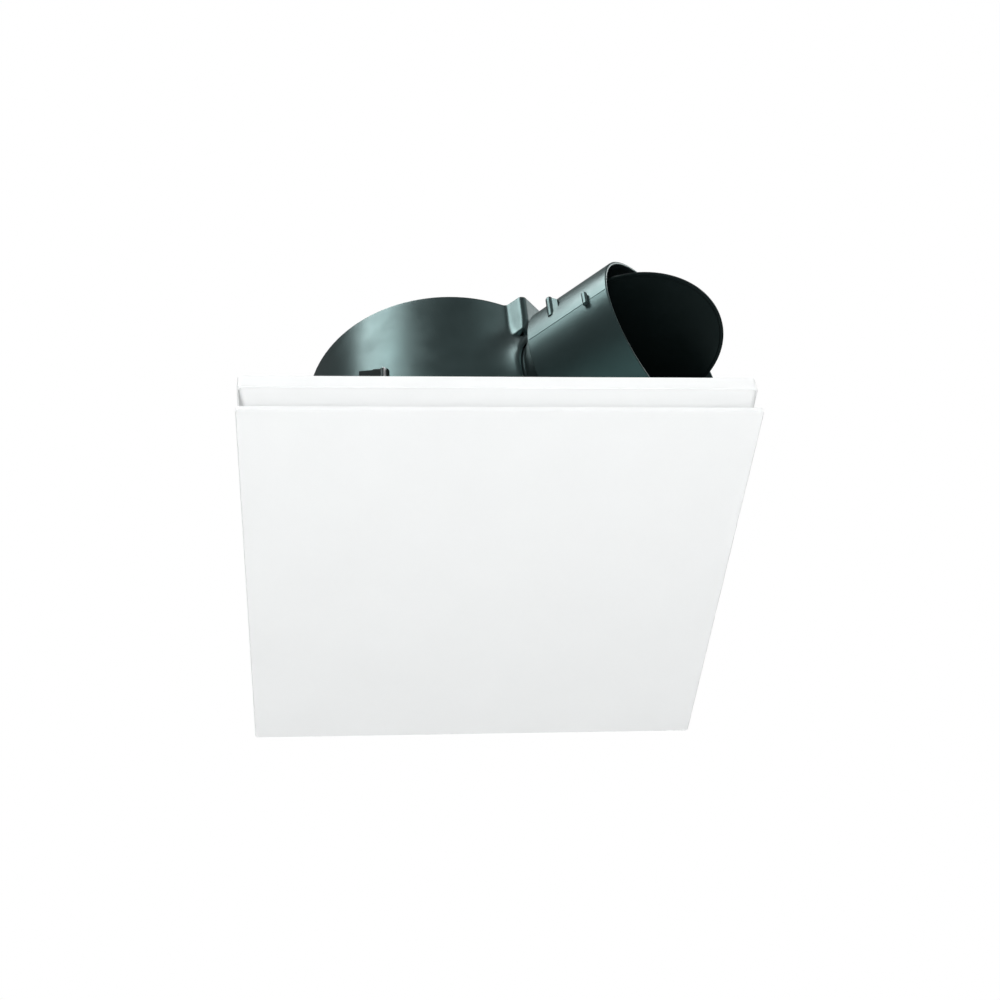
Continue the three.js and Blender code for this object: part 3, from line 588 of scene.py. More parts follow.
# -------- frame
def grille_frame():
    """A square tray, upside down: a tapered skirt, an upright band and a flat roof with a round opening.

    The roof steps down round the opening, so that the drum's flange lies flush in it.
    """
    lip, top = heights("grille_frame")
    roof = top - FRAME_PLATE
    seat = DRUM_FLOOR - SEAT_GAP
    seat_low = seat - FRAME_PLATE
    lip_half = FASCIA_HALF - 5
    shoulder_half = FASCIA_HALF - 1
    profile = [
        (shoulder_half - FRAME_WALL, roof), (shoulder_half - FRAME_WALL, FRAME_SHOULDER),
        (lip_half - FRAME_WALL, lip), (lip_half, lip), (shoulder_half, FRAME_SHOULDER),
        (FASCIA_HALF, FRAME_SHOULDER + 0.2), (FASCIA_HALF, top),
    ]
    rows = [flat_row(square(half, 3), height) for half, height in rounded(profile, 0.5, False, 3)]
    made = to_object("grille_frame_fine", loft(rows))
    step = rectangle(FRAME_OPENING - 1, SEAT_RADIUS + 3, seat_low, roof + 1)
    join(made, round_lathe(step, 0.8, FINE), DRUM_AXIS)
    collar = rectangle(FRAME_OPENING - 1, FRAME_OPENING + 3, seat_low - 4, seat_low + 1)
    join(made, round_lathe(collar, 0.8, FINE), DRUM_AXIS)
    for place in POSTS:
        join(made, round_lathe(rectangle(0, 8, POST_TOP + 6, roof + 1), 0.6), place)
        cut(made, rod(5.4, POST_TOP, roof - 1), place)
    recess = rounded(rectangle(0, SEAT_RADIUS, seat, top + 1), 0.8, False)
    cut(made, lathe(recess, FINE), DRUM_AXIS)
    cut(made, rod(FRAME_OPENING, 0, top + 1, FINE), DRUM_AXIS)
    for place, radius in FLANGE_HOLES:
        cut(made, rod(radius, seat_low - 1, top + 1), place)
    finish_piece(made, "housing", "white_enamel", "grille_frame")


# -------- drum
def blended_least(a, b, width):
    """The lesser of two distances, with the join between their surfaces filled over a width."""
    share = np.clip(width - np.abs(a - b), 0, None) / width
    return np.minimum(a, b) - share * share * width / 4


def blended_most(a, b, width):
    return -blended_least(-a, -b, width)


def drum_distance(x, y, z):
    """Signed distance from the drum's outer skin: body, round socket and square hood, blended."""
    body = np.hypot(x - DRUM_X, y) - DRUM_RADIUS
    side = x * SIDE.x + y * SIDE.y - OUTLET_ORIGIN.dot(SIDE)
    along = x * OUT.x + y * OUT.y
    socket = blended_most(np.hypot(side, z - OUTLET_HEIGHT) - SOCKET_RADIUS, along - SOCKET_LIP, 2.0)
    socket = np.maximum(socket, -along)
    slope = np.clip((HOOD_CHIN - z) / (HOOD_CHIN - HOOD_FOOT), 0, 1)
    front = along - HOOD_FRONT + slope * HOOD_SLOPE
    wall = np.abs(side) - HOOD_HALF
    corner = (wall + front + HOOD_CORNER * (1 - slope)) / math.sqrt(2)
    hood = blended_most(blended_most(wall, front, 0.8), corner, 1.0)
    hood = np.maximum(blended_most(hood, HOOD_FOOT - z, 2.0), -along)
    return blended_least(blended_least(body, socket, 24.0), hood, 3.0)


def drum_row(height, offset, turns):
    """A level outline of the skin, or of a surface offset from it, found along rays from its axis."""
    near = np.full(len(turns), SEARCH_FROM)
    far = np.full(len(turns), SEARCH_TO)
    for _ in range(HALVINGS):
        middle = (near + far) / 2
        x = DRUM_X + middle * np.cos(turns)
        y = middle * np.sin(turns)
        inside = drum_distance(x, y, height) < offset
        near = np.where(inside, middle, near)
        far = np.where(inside, far, middle)
    x = DRUM_X + near * np.cos(turns)
    y = near * np.sin(turns)
    return [Vector((a, b, height)) for a, b in zip(x, y)]


def spaced(stops):
    """Values from (start, step) stops to the last stop's start, each stretch in equal steps."""
    values = []
    for (start, step), (end, _) in zip(stops, stops[1:]):
        count = max(1, round((end - start) / step))
        values += [start + (end - start) * i / count for i in range(count)]
    return values


def drum_skin():
    """The outer skin as level rows, closer together where the socket and the hood change its shape."""
    heading = math.degrees(math.atan2(OUT.y, OUT.x))
    turns = spaced([(heading - 180, 3), (heading - 42, 0.8), (heading - 25, 0.25), (heading - 16, 1),
                    (heading + 22, 0.25), (heading + 40, 0.8), (heading + 52, 3), (heading + 180, 3)])
    turns = np.array(turns) * DEG
    row_heights = spaced([(DRUM_FLOOR, 6), (54, 1.6), (62, 3), (156, 0.6), (168, 1.2), (182, 4),
                          (DRUM_TOP - RIM_ROUND, 1)])
    rows = [drum_row(height, 0.0, turns) for height in row_heights]
    for step in range(7):
        angle = step / 6 * math.pi / 2
        offset = -RIM_ROUND * (1 - math.cos(angle))
        rows.append(drum_row(DRUM_TOP - RIM_ROUND + RIM_ROUND * math.sin(angle), offset, turns))
    return loft(rows)


def hood_hollow(ceiling):
    """The space inside the hood, open towards the drum and kept clear of the socket's round wall."""
    front = HOOD_FRONT - DRUM_WALL
    half = HOOD_HALF - DRUM_WALL
    foot = HOOD_FOOT - 2
    outline = [(60, foot), (front - HOOD_SLOPE, foot), (front, HOOD_CHIN - 2),
               (front, ceiling), (60, ceiling)]
    outline = [(along, height - OUTLET_HEIGHT) for along, height in outline]
    hollow = tool(side_prism(outline, -half, half), OUTLET)
    return cut(hollow, rod(SOCKET_RADIUS, 40, 200, FINE), OUTLET)


def drum_housing():
    drum = to_object("drum_housing_fine", drum_skin())
    flange = [(100, DRUM_FLOOR), (DRUM_FLANGE, DRUM_FLOOR), (DRUM_FLANGE, DRUM_FLOOR + 3),
              (DRUM_RADIUS + 2.5, DRUM_FLOOR + 3), (DRUM_RADIUS + 0.7, DRUM_FLOOR + 3.6),
              (DRUM_RADIUS - 1, DRUM_FLOOR + 8), (100, DRUM_FLOOR + 8)]
    join(drum, round_lathe(flange, 0.7, FINE), DRUM_AXIS)
    bore = DRUM_RADIUS - DRUM_WALL
    ceiling = DRUM_TOP - DRUM_WALL
    hollow = rounded(rectangle(0, bore, DRUM_FLOOR - 1, ceiling), 2, False)
    cut(drum, lathe(hollow, FINE), DRUM_AXIS)
    cut(drum, hood_hollow(ceiling))
    throat = [(0, 50), (SOCKET_BORE, 50), (SOCKET_BORE, SOCKET_LIP - 1), (SOCKET_BORE + 1, SOCKET_LIP),
              (SOCKET_BORE + 1, SOCKET_LIP + 20), (0, SOCKET_LIP + 20)]
    cut(drum, lathe(throat, FINE), OUTLET)
    pad = [(0, DRUM_TOP - 1), (9.6, DRUM_TOP - 1), (9, DRUM_TOP + 0.25), (0, DRUM_TOP + 0.25)]
    for place in MOUNTS:
        join(drum, lathe(pad), place)
    for place in MOUNTS:
        cut(drum, rod(MOUNT_HOLE, ceiling - 5, DRUM_TOP + 1), place)
    for place, radius in FLANGE_HOLES:
        cut(drum, rod(radius, 0, 50), place)
    cut(drum, rod(LEAD_HOLE, DRUM_RADIUS - 10, DRUM_RADIUS + 10), pointing_out(0, LEAD_HEIGHT))
    finish_piece(drum, "housing", "dark_moulding", "drum_housing")


# -------- outlet spigot
def draft(bm, slope=0.035, fade=6.0):
    """Lets each half of the spigot lean in slightly from the parting line, so that the line shows."""
    for vertex in bm.verts:
        radius = math.hypot(vertex.co.x, vertex.co.y)
        if radius > SPIGOT_BORE + 0.5:
            rise = abs(vertex.co.y) / radius
            factor = 1 - slope * rise * math.exp(-fade * rise)
            vertex.co.x *= factor
            vertex.co.y *= factor
    return bm


def upright(width, depth, low, high, side, along):
    """An upright peg with rounded sides and a domed top, standing along the outlet's Y."""
    rows = []
    round_edge = min(width, depth) * 0.49
    outline = rounded(rectangle(-width / 2, width / 2, -depth / 2, depth / 2), round_edge, True, 6)
    for step in range(7):
        angle = step / 6 * math.pi / 2 * 0.96
        shrink = math.cos(angle)
        height = high - round_edge + round_edge * math.sin(angle)
        rows.append([Vector((side + x * shrink, height, along + z * shrink)) for x, z in outline])
    foot = [Vector((side + x, low, along + z)) for x, z in outline]
    return loft([foot] + rows)


def outlet_spigot():
    outside = [
        (NECK_BORE, 88.5), (NECK_RADIUS, 88.5), (NECK_RADIUS, NECK_END), (CONE_RADIUS, COLLAR - 0.6),
        (SPIGOT_RADIUS, COLLAR - 0.6), (SPIGOT_RADIUS, MOUTH), (SPIGOT_BORE, MOUTH),
        (SPIGOT_BORE, COLLAR + 3), (CONE_RADIUS - 2.5, COLLAR + 1.5), (NECK_BORE, NECK_END + 1.5),
    ]
    spigot = to_object("outlet_spigot_fine", draft(round_lathe(outside, 1.0, FINE, 5)), OUTLET)
    for hand in (-1, 1):
        sides = (hand * (SPIGOT_RADIUS - 1), hand * (SPIGOT_RADIUS + 0.22))
        join(spigot, block(*sides, -0.3, 0.3, COLLAR + 1, MOUTH - 1.2), OUTLET)
        edge = hand * HINGE_HALF
        join(spigot, upright(5.0, 5.4, 12, 34, edge + hand * 1.6, HINGE_ALONG), OUTLET)
        web = [(HINGE_ALONG, 14), (HINGE_ALONG + 7, 14), (HINGE_ALONG + 7, 26), (HINGE_ALONG + 3, 31),
               (HINGE_ALONG, 31)]
        sides = sorted((edge - hand * 3, edge + hand * 2.4))
        join(spigot, side_prism(web, *sides), OUTLET)
        join(spigot, upright(3.4, 4.2, -4, 8.5, hand * (SPIGOT_RADIUS + 1.3), MOUTH - 18), OUTLET)
    cut(spigot, rod(SPIGOT_BORE, COLLAR + 3, MOUTH - 1, FINE), OUTLET)
    for low, high, keep_low, keep_high in (
        (HINGE_ALONG - 6, HINGE_ALONG - 3, -80, HINGE_RISE - 8),
        (HINGE_ALONG + 3, HINGE_ALONG + 6, HINGE_RISE + 8, 80),
    ):
        outline = rectangle(SEAT_BORE, SPIGOT_RADIUS - 1, low, high)
        rib = tool(round_lathe(outline, 0.6, FINE), OUTLET)
        cut(rib, block(-90, 90, -90, keep_low, low - 2, high + 2), OUTLET)
        cut(rib, block(-90, 90, keep_high, 90, low - 2, high + 2), OUTLET)
        join(spigot, rib)
    cut(spigot, rod(PIN_HOLE, -HINGE_HALF - 3, HINGE_HALF + 3), HINGE_LINE)
    finish_piece(spigot, "housing", "dark_moulding", "outlet_spigot")


# -------- damper flap
def damper_flap():
    """A thin round flap with a bead round its edge and a knuckle for the spindle, modelled open."""
    disc = [
        (0, -0.75), (FLAP_RADIUS - 3, -0.75), (FLAP_RADIUS - 2.4, -1), (FLAP_RADIUS, -1), (FLAP_RADIUS, 1),
        (FLAP_RADIUS - 2.4, 1), (FLAP_RADIUS - 3, 0.75), (0, 0.75),
    ]
    lying = moved(0, HINGE_RISE, HINGE_ALONG + HINGE_RISE) @ rotated(90, "X")
    flap = to_object("damper_flap_fine", round_lathe(disc, 0.5, FINE), OUTLET @ lying)
    half = math.sqrt(FLAP_RADIUS ** 2 - HINGE_RISE ** 2) - 2
    join(flap, round_lathe(rectangle(0, 4, -half, half), 0.6), HINGE_LINE)
    cut(flap, rod(PIN_HOLE, -80, 80), HINGE_LINE)
    finish_piece(flap, "damper", "black_moulding", "damper_flap")


# -------- screws
def thread(core, depth, pitch, low, high, segments=20, steps=6):
    """A threaded rod: its radius rises and falls once in every pitch, turning as it climbs."""
    rows = [[Vector((0, 0, low))]]
    count = round((high - low) / pitch * steps)
    for k in range(count + 1):
        height = low + (high - low) * k / count
        row = []
        for i in range(segments):
            phase = (height / pitch - i / segments) % 1
            radius = core + depth * (1 - abs(2 * phase - 1)) * min(1, (count - k) / steps / 2)
            angle = 2 * math.pi * i / segments
            row.append(Vector((radius * math.cos(angle), radius * math.sin(angle), height)))
        rows.append(row)
    rows.append([Vector((0, 0, high))])
    return loft(rows)


def fastener(node, place, head, shank, into=1, body="housing"):
    """A screw from its head's profile and its shank: (core, depth, pitch, low, high).

    into is the way the driver goes along Z: 1 into the head's foot, -1 into its top.
    """
    made = to_object(node + "_fine", round_lathe(head, 0.45), place)
    join(made, thread(*shank), place)
    face = head[0][1] if into == 1 else head[-1][1]
    reach = 0.55 * max(radius for radius, _ in head)
    low, high = sorted((face - into * 0.5, face + into * 1.5))
    for width, length in ((0.55, reach), (reach, 0.55)):
        cut(made, block(-width, width, -length, length, low, high), place)
    finish_piece(made, body, "zinc_steel", node)


def frame_screws():
    for number, place in enumerate(FRAME_SCREWS, 1):
        node = f"frame_screw_{number}"
        low, high = heights(node)
        head = [(0, low), (3, low), (4.2, low + 1.4), (4.2, low + 3), (0, low + 3)]
        fastener(node, place, head, (1.45, 0.45, 1.2, low + 2, high))


def clamp_screws():
    for number, place in enumerate(CLAMPS, 1):
        node = f"clamp_screw_{number}"
        low, high = heights(node)
        head = [(0, low), (3.5, low), (4.6, low + 1.5), (4.6, low + 3.5), (0, low + 3.5)]
        fastener(node, place, head, (1.6, 0.4, 1.3, low + 2.5, high), body=node)


def mount_screws():
    for number, place in enumerate(MOUNTS, 1):
        node = f"mount_screw_{number}"
        low, high = heights(node)
        seat = high - 3
        head = [(0, seat), (4.6, seat), (4.6, seat + 1.4), (3.2, high), (0, high)]
        fastener(node, place, head, (1.7, 0.4, 1.2, low, seat + 1), -1)


def motor_bolts():
    for number, place in enumerate(BOLTS, 1):
        node = f"motor_bolt_{number}"
        low, high = heights(node)
        fastener(node, place, rectangle(0, 2.7, low, low + 3), (1.3, 0.3, 1.0, low + 2, high))


def lid_screws():
    seat = LID_FACE + SEAT_GAP
    head = [(0, seat), (3.6, seat), (3.6, seat + 1), (2.4, seat + 2.2), (0, seat + 2.2)]
    shank = (1.2, 0.3, 1.0, BOX_FACE - 10, seat + 1)
    for number, spot in enumerate(LID_SCREWS, 1):
        fastener(f"lid_screw_{number}", pointing_out(*spot), head, shank, -1)


# -------- ceiling clamps
def clamp_arms():
    """Each arm is a ribbed bar with a raised root and a slotted boss, through which its screw shows."""
    half = ARM_HALF_WIDTH
    for number, screw_place in enumerate(CLAMPS, 1):
        name = f"clamp_arm_{number}"
        low, high = heights(name)
        place = screw_place @ rotated(ARM_TURN)
        boss = round_lathe(rectangle(0, ARM_BOSS, low, high), 0.6)
        arm = to_object(name + "_fine", boss, place)
        bar = tool(block(-half, half, -ARM_REACH, -0.5, low, high - 1.6), place)
        join(bar, block(0.6 - half, half - 0.6, -8, -1, low + 1, high), place)
        join(arm, soften(bar, 0.6))
        for side in (-1, 1):
            pocket = block(side * 1.9 - 1, side * 1.9 + 1, 1.6 - ARM_REACH, -9, low + 4.5, high)
            cut(arm, pocket, place)
        for k in range(4):
            notch = block(-5, 5, -0.7, 0.7, low - 1, low + 0.6)
            cut(arm, notch, place @ moved(0, 2.2 + k * 2.8 - ARM_REACH, 0))
        cut(arm, rod(2.3, low - 1, high + 1), screw_place)
        slot = block(0, 8, -1.2, 1.2, low + 3, high + 1)
        cut(arm, slot, screw_place @ rotated(SLOT_TURN))
        finish_piece(arm, name, "black_moulding", name)


# -------- impeller
def inlet_ring():
    """The bell mouth that leads the air into the impeller."""
    floor = RING_LOW.z
    inner = TIP_RADIUS + 2.5
    outer = RING_HIGH.x - DRUM_X
    outline = [
        (inner + 5, floor), (outer, floor), (outer, floor + 2), (inner + 2, floor + 5),
        (inner + 2, floor + 26), (inner, floor + 26), (inner, floor + 6), (inner + 1.2, floor + 2.4),
    ]
    turned("inlet_ring", "housing", "dark_moulding", outline, 1.6, FINE)


def blade(degrees):
    """One twisted blade, steeper at the hub, lofted from thin rounded sections."""
    root = HUB_RADIUS - 1.6
    rise = BLADE_HIGH - BLADE_LOW
    rows = []
    for station in range(15):
        outward = station / 14
        radius = root + (TIP_RADIUS - root) * outward
        pitch = (BLADE_PITCH - BLADE_TWIST * outward) * DEG
        chord = rise * (0.96 - 0.06 * outward) / math.sin(pitch)
        row = []
        for k in range(36):
            around = 2 * math.pi * k / 36
            along_share = 0.5 * math.cos(around)
            thickness = BLADE_HALF_THICK * math.copysign(abs(math.sin(around)) ** 0.6, math.sin(around))
            offset = BLADE_CAMBER * (1 - 4 * along_share ** 2) + thickness
            along = along_share * chord
            sideways = along * math.cos(pitch) - offset * math.sin(pitch)
            height = along * math.sin(pitch) + offset * math.cos(pitch)
            turn = sideways / radius + degrees * DEG
            middle = BLADE_LOW + rise / 2
            row.append(Vector((radius * math.cos(turn), radius * math.sin(turn), middle + height)))
        rows.append(row)
    return loft(rows)


def impeller():
    inner = HUB_RADIUS - 2.5
    profile = [
        (SHAFT_HOLE, 50), (10, 48.5), (22, 49.5), (33, 53.5), (39.5, 60.5), (HUB_RADIUS, 69),
        (HUB_RADIUS, 97), (inner, 97), (inner, 70), (37, 62.5), (31.5, 56.5), (21, 52.5), (9, 52),
        (9, 90), (SHAFT_HOLE, 90),
    ]
    wheel = to_object("impeller_fine", round_lathe(profile, 2.2, MIDDLE), DRUM_AXIS)
    for i in range(BLADES):
        join(wheel, blade(360 / BLADES * i), DRUM_AXIS)
    for i in range(6):
        rib = tool(block(8, inner + 1, -0.9, 0.9, 61, 88), spoke(60 * i))
        cup = [(0, 50), (9, 50), (21, 52), (31.5, 56), (37, 62), (inner + 0.5, 70), (inner + 0.5, 89),
               (0, 89)]
        combine(rib, "INTERSECT", lathe(cup, MIDDLE), DRUM_AXIS)
        join(wheel, rib)
    cut(wheel, rod(SHAFT_HOLE, 40, 99), DRUM_AXIS)
    finish_piece(wheel, "impeller_set", "black_moulding", "impeller")


def impeller_nut():
    low, high = heights("impeller_nut")
    nut = soften(to_object("impeller_nut_fine", prism(hexagon(7.5), low, high), DRUM_AXIS), 0.5)
    cut(nut, rod(SHAFT_HOLE, 30, 60), DRUM_AXIS)
    finish_piece(nut, "impeller_set", "zinc_steel", "impeller_nut")


# -------- motor
def motor_shaft():
    low, high = heights("motor_shaft")
    outline = [(0, low), (4, low), (4, STACK_LOW - 4), (5.5, STACK_LOW - 4), (5.5, STACK_HIGH + 4),
               (4, STACK_HIGH + 4), (4, high), (0, high)]
    turned("motor_shaft", "impeller_set", "bright_steel", outline, 0.5)


def rotor_core():
    low, high = heights("rotor_core")
    turned("rotor_core", "impeller_set", "cast_aluminium", rectangle(5.8, 20, low, high), 0.8)


def bearings():
    for node in ("lower_bearing", "upper_bearing"):
        low, high = heights(node)
        outline = [
            (4.3, low), (6, low), (6, low + 0.5), (9.2, low + 0.5), (9.2, low), (11, low),
            (11, high), (9.2, high), (9.2, high - 0.5), (6, high - 0.5), (6, high), (4.3, high),
        ]
        turned(node, "housing", "bright_steel", outline, 0.25)


def winding(node):
    """A bundle of wire whose coil heads swell between the slots, tied round with a cord."""
    low, high = heights(node)
    middle = (low + high) / 2
    half = (high - low) / 2
    rows = []
    for k in range(24):
        around = 2 * math.pi * k / 24
        row = []
        for i in range(FINE):
            turn = 2 * math.pi * i / FINE
            swell = 1 - 0.10 * abs(math.sin(4 * turn)) ** 3 - 0.03 * abs(math.sin(24 * turn))
            radius = WINDING_RADIUS + WINDING_HALF * swell * math.cos(around)
            height = middle + half * swell * math.sin(around)
            row.append(Vector((radius * math.cos(turn), radius * math.sin(turn), height)))
        rows.append(row)
    made = to_object(node + "_fine", loft(rows, True), DRUM_AXIS)
    finish_piece(made, "housing", "enamelled_copper", node)


def bolt_lugs(cover, low, high):
    """Lugs for the through bolts, kept clear of the cover's inside, and the bolts' holes."""
    for place in BOLTS:
        lug = tool(rod(5, low, high), place)
        join(cover, cut(lug, rod(MOTOR_RADIUS - 2, low - 1, high + 1, MIDDLE), DRUM_AXIS))
    for place in BOLTS:
        cut(cover, rod(BOLT_HOLE, 100, 200), place)


def motor_cover_lower():
    low = heights("motor_cover_lower")[0]
    inner = MOTOR_RADIUS - MOTOR_PLATE
    floor = low + MOTOR_PLATE
    high = MOTOR_SPLIT - 0.15
    cup = [(5.5, low), (inner, low), (MOTOR_RADIUS, low + 4), (MOTOR_RADIUS, high), (inner, high),
           (inner, floor), (BEARING_BOSS, floor), (BEARING_BOSS, floor + 6), (BEARING_SEAT, floor + 6),
           (BEARING_SEAT, floor), (5.5, floor)]
    cover = to_object("motor_cover_lower_fine", round_lathe(cup, 0.7, MIDDLE), DRUM_AXIS)
    bolt_lugs(cover, MOTOR_SPLIT - 14, high)
    for i in range(12):
        vent = prism(rounded([(22, -2.6), (39, -3.6), (39, 3.6), (22, 2.6)], 2.4), low - 1, floor + 0.5)
        cut(cover, vent, spoke(30 * i + 15))
    finish_piece(cover, "housing", "cast_aluminium", "motor_cover_lower")


def motor_cover_upper():
    high = heights("motor_cover_upper")[1]
    inner = MOTOR_RADIUS - MOTOR_PLATE
    ceiling = high - MOTOR_PLATE
    low = MOTOR_SPLIT + 0.15
    cup = [(0, ceiling), (BEARING_SEAT, ceiling), (BEARING_SEAT, ceiling - 6), (BEARING_BOSS, ceiling - 6),
           (BEARING_BOSS, ceiling), (inner, ceiling), (inner, low), (MOTOR_RADIUS, low),
           (MOTOR_RADIUS, high - 4), (inner, high), (0, high)]
    cover = to_object("motor_cover_upper_fine", round_lathe(cup, 0.7, MIDDLE), DRUM_AXIS)
    ear = rounded([(30, -9), (60, -8), (68, -8), (68, 8), (60, 8), (30, 9)], 7.5)
    for third in range(3):
        join(cover, prism(ear, ceiling, high), spoke(120 * third))
    bolt_lugs(cover, low, MOTOR_SPLIT + 14)
    for place in MOUNTS:
        cut(cover, rod(MOUNT_HOLE, 180, 200), place)
    finish_piece(cover, "housing", "cast_aluminium", "motor_cover_upper")


def rubber_mounts():
    for number, place in enumerate(MOUNTS, 1):
        node = f"rubber_mount_{number}"
        low, high = heights(node)
        outline = [(2.6, low), (7.5, low), (7.5, low + 3), (5.8, low + 4), (5.8, high - 4),
                   (7.5, high - 3), (7.5, high), (2.6, high)]
        turned(node, "housing", "rubber", outline, 0.8, SMALL, place)


def thermal_cutout():
    low, high = box_mm("thermal_cutout")
    made = to_object("thermal_cutout_fine", block(low.x, high.x, low.y, high.y, low.z, high.z))
    soften(made, 0.8, segments=3)
    finish_piece(made, "housing", "black_moulding", "thermal_cutout")


# -------- terminal box
def box_row(x, half, inset, corner):
    """The box's outline with rounded corners at one distance from the drum's axis."""
    low = BOX_LOW + inset
    high = BOX_HIGH - inset
    outline = rounded(rectangle(-half, half, low, high), corner, True, 6)
    return [Vector((x, across, height)) for across, height in outline]


def box_block(start, end, half, inset, corner):
    return loft([box_row(x, half, inset, corner) for x in (start, end)])


def terminal_base():
    outside = box_block(DRUM_RADIUS - 8, BOX_FACE, BOX_HALF, 0, BOX_CORNER)
    base = to_object("terminal_base_fine", outside, BOX)
    cut(base, box_block(BOX_BACK, BOX_FACE + 1, BOX_HALF - 2.5, 2.5, 2), BOX)
    for spot in LID_SCREWS:
        join(base, rod(5.2, BOX_BACK - 1, BOX_FACE), pointing_out(*spot))
        cut(base, rod(1.8, BOX_FACE - 12, BOX_FACE + 1), pointing_out(*spot))
    cut(base, rod(DRUM_RADIUS + 0.15, 0, 200, FINE), DRUM_AXIS)
    cut(base, rod(LEAD_HOLE, DRUM_RADIUS - 9, BOX_BACK + 1), pointing_out(0, LEAD_HEIGHT))
    cut(base, rod(GLAND_HOLE, BOX_HIGH - 8, BOX_HIGH + 1), GLAND)
    finish_piece(base, "housing", "dark_moulding", "terminal_base")


def terminal_lid():
    """A lid with a sunk panel, a soft edge and a short rim inside the box."""
    start = BOX_FACE + SEAT_GAP
    edge = ((start, 0.3), (start + 0.4, 0), (LID_FACE - 1, 0), (LID_FACE - 0.3, 0.3), (LID_FACE, 1))
    rows = [box_row(x, BOX_HALF - inset, inset, BOX_CORNER - inset) for x, inset in edge]
    lid = to_object("terminal_lid_fine", loft(rows), BOX)
    rim = tool(box_block(BOX_FACE - 2, BOX_FACE + 1, BOX_HALF - 2.8, 2.8, 2), BOX)
    cut(rim, box_block(BOX_FACE - 3, start, BOX_HALF - 4.3, 4.3, 1), BOX)
    join(lid, rim)
    cut(lid, box_block(LID_FACE - 0.6, LID_FACE + 1, 17, 8, 3), BOX)
    for spot in LID_SCREWS:
        cut(lid, rod(6, BOX_FACE - 3, start), pointing_out(*spot))
        cut(lid, rod(2, BOX_FACE - 3, LID_FACE + 1), pointing_out(*spot))
    finish_piece(lid, "housing", "dark_moulding", "terminal_lid")


def cable_gland():
    """A hexagon body, a ribbed domed cap and a hollow middle for the supply cable."""
    high = BOX_HIGH + SEAT_GAP
    profile = [(4, BOX_HIGH - 8), (7, BOX_HIGH - 8), (7, high), (9, high), (9, high + 5.4),
               (8.6, high + 6), (8.6, high + 10), (6.5, high + 13), (4, high + 13)]
    gland = to_object("cable_gland_fine", round_lathe(profile, 0.6), GLAND)
    nut = soften(tool(prism(hexagon(11), high, high + 5), GLAND), 0.5)
    cut(nut, rod(8, high - 1, high + 6), GLAND)
    join(gland, nut)
    for i in range(18):
        cut(gland, rod(0.55, high + 6.2, high + 14), GLAND @ rotated(20 * i) @ moved(8.9, 0, 0))
    finish_piece(gland, "housing", "black_moulding", "cable_gland")


def gland_nut():
    low, high = heights("gland_nut")
    nut = soften(to_object("gland_nut_fine", prism(hexagon(10.5), low, high), GLAND), 0.5)
    cut(nut, rod(GLAND_HOLE, low - 1, high + 1), GLAND)
    finish_piece(nut, "housing", "black_moulding", "gland_nut")


def lead_grommet():
    outline = rectangle(2.9, 5, DRUM_RADIUS - 5, BOX_BACK + 2)
    turned("lead_grommet", "housing", "rubber", outline, 0.7, SMALL, pointing_out(0, LEAD_HEIGHT))


def run_capacitor():
    low, high = heights("run_capacitor")
    outline = [(0, low), (8.6, low), (9, low + 1), (9, high - 2), (8.2, high), (0, high)]
    place = BOX @ moved(BOX_BACK + 13, 17.5, 0)
    turned("run_capacitor", "housing", "capacitor_case", outline, 0.8, SMALL, place)


def terminal_block():
    made = to_object("terminal_block_fine", block(BOX_BACK + SEAT_GAP, BOX_BACK + 9, -18, 7, 68, 82), BOX)
    poles = (-14, -5.5, 3)
    for across in poles:
        join(made, block(BOX_BACK + 8, BOX_BACK + 13, across - 3.4, across + 3.4, 70, 80), BOX)
    soften(made, 0.5)
    for across in poles:
        cut(made, rod(2, BOX_BACK + 7, BOX_BACK + 14), pointing_out(across, 75))
    finish_piece(made, "housing", "nylon", "terminal_block")


def smooth_path(points, steps=8):
    """A Catmull-Rom curve through the points."""
    spots = [Vector(p) for p in points]
    spots = [2 * spots[0] - spots[1]] + spots + [2 * spots[-1] - spots[-2]]
    path = []
    for a, b, c, d in zip(spots, spots[1:], spots[2:], spots[3:]):
        for k in range(steps):
            t = k / steps
            path.append(0.5 * (2 * b + (c - a) * t + (2 * a - 5 * b + 4 * c - d) * t ** 2
                               + (3 * b - a - 3 * c + d) * t ** 3))
    return path + [spots[-2]]


def tube(path, radius, segments=20):
    rows = []
    across = Vector((0, 1, 0))
    for i, spot in enumerate(path):
        ahead = (path[min(i + 1, len(path) - 1)] - path[max(i - 1, 0)]).normalized()
        across = (across - ahead * across.dot(ahead)).normalized()
        over = ahead.cross(across)
        turns = [2 * math.pi * k / segments for k in range(segments)]
        rows.append([spot + (across * math.cos(t) + over * math.sin(t)) * radius for t in turns])
    return loft(rows)


def motor_lead():
    """The motor's lead, held by the motor cover at one end and the terminal block at the other."""
    route = [
        (MOTOR_RADIUS + 0.3, 0, 160), (MOTOR_RADIUS + 8, 0, 160), (MOTOR_RADIUS + 20, 0, 148),
        (DRUM_RADIUS - 24, 0, 112), (DRUM_RADIUS - 12, 0, LEAD_HEIGHT), (DRUM_RADIUS - 2, 0, LEAD_HEIGHT),
        (BOX_BACK + 6, 0, LEAD_HEIGHT), (BOX_BACK + 12, -3, LEAD_HEIGHT - 5), (BOX_BACK + 15, -6, 90),
        (BOX_BACK + 10.5, -5.5, 82.5),
    ]
    lead = to_object("motor_lead_fine", tube(smooth_path(route), 2.2), BOX)
    finish_piece(lead, "housing", "lead_sheath", "motor_lead")


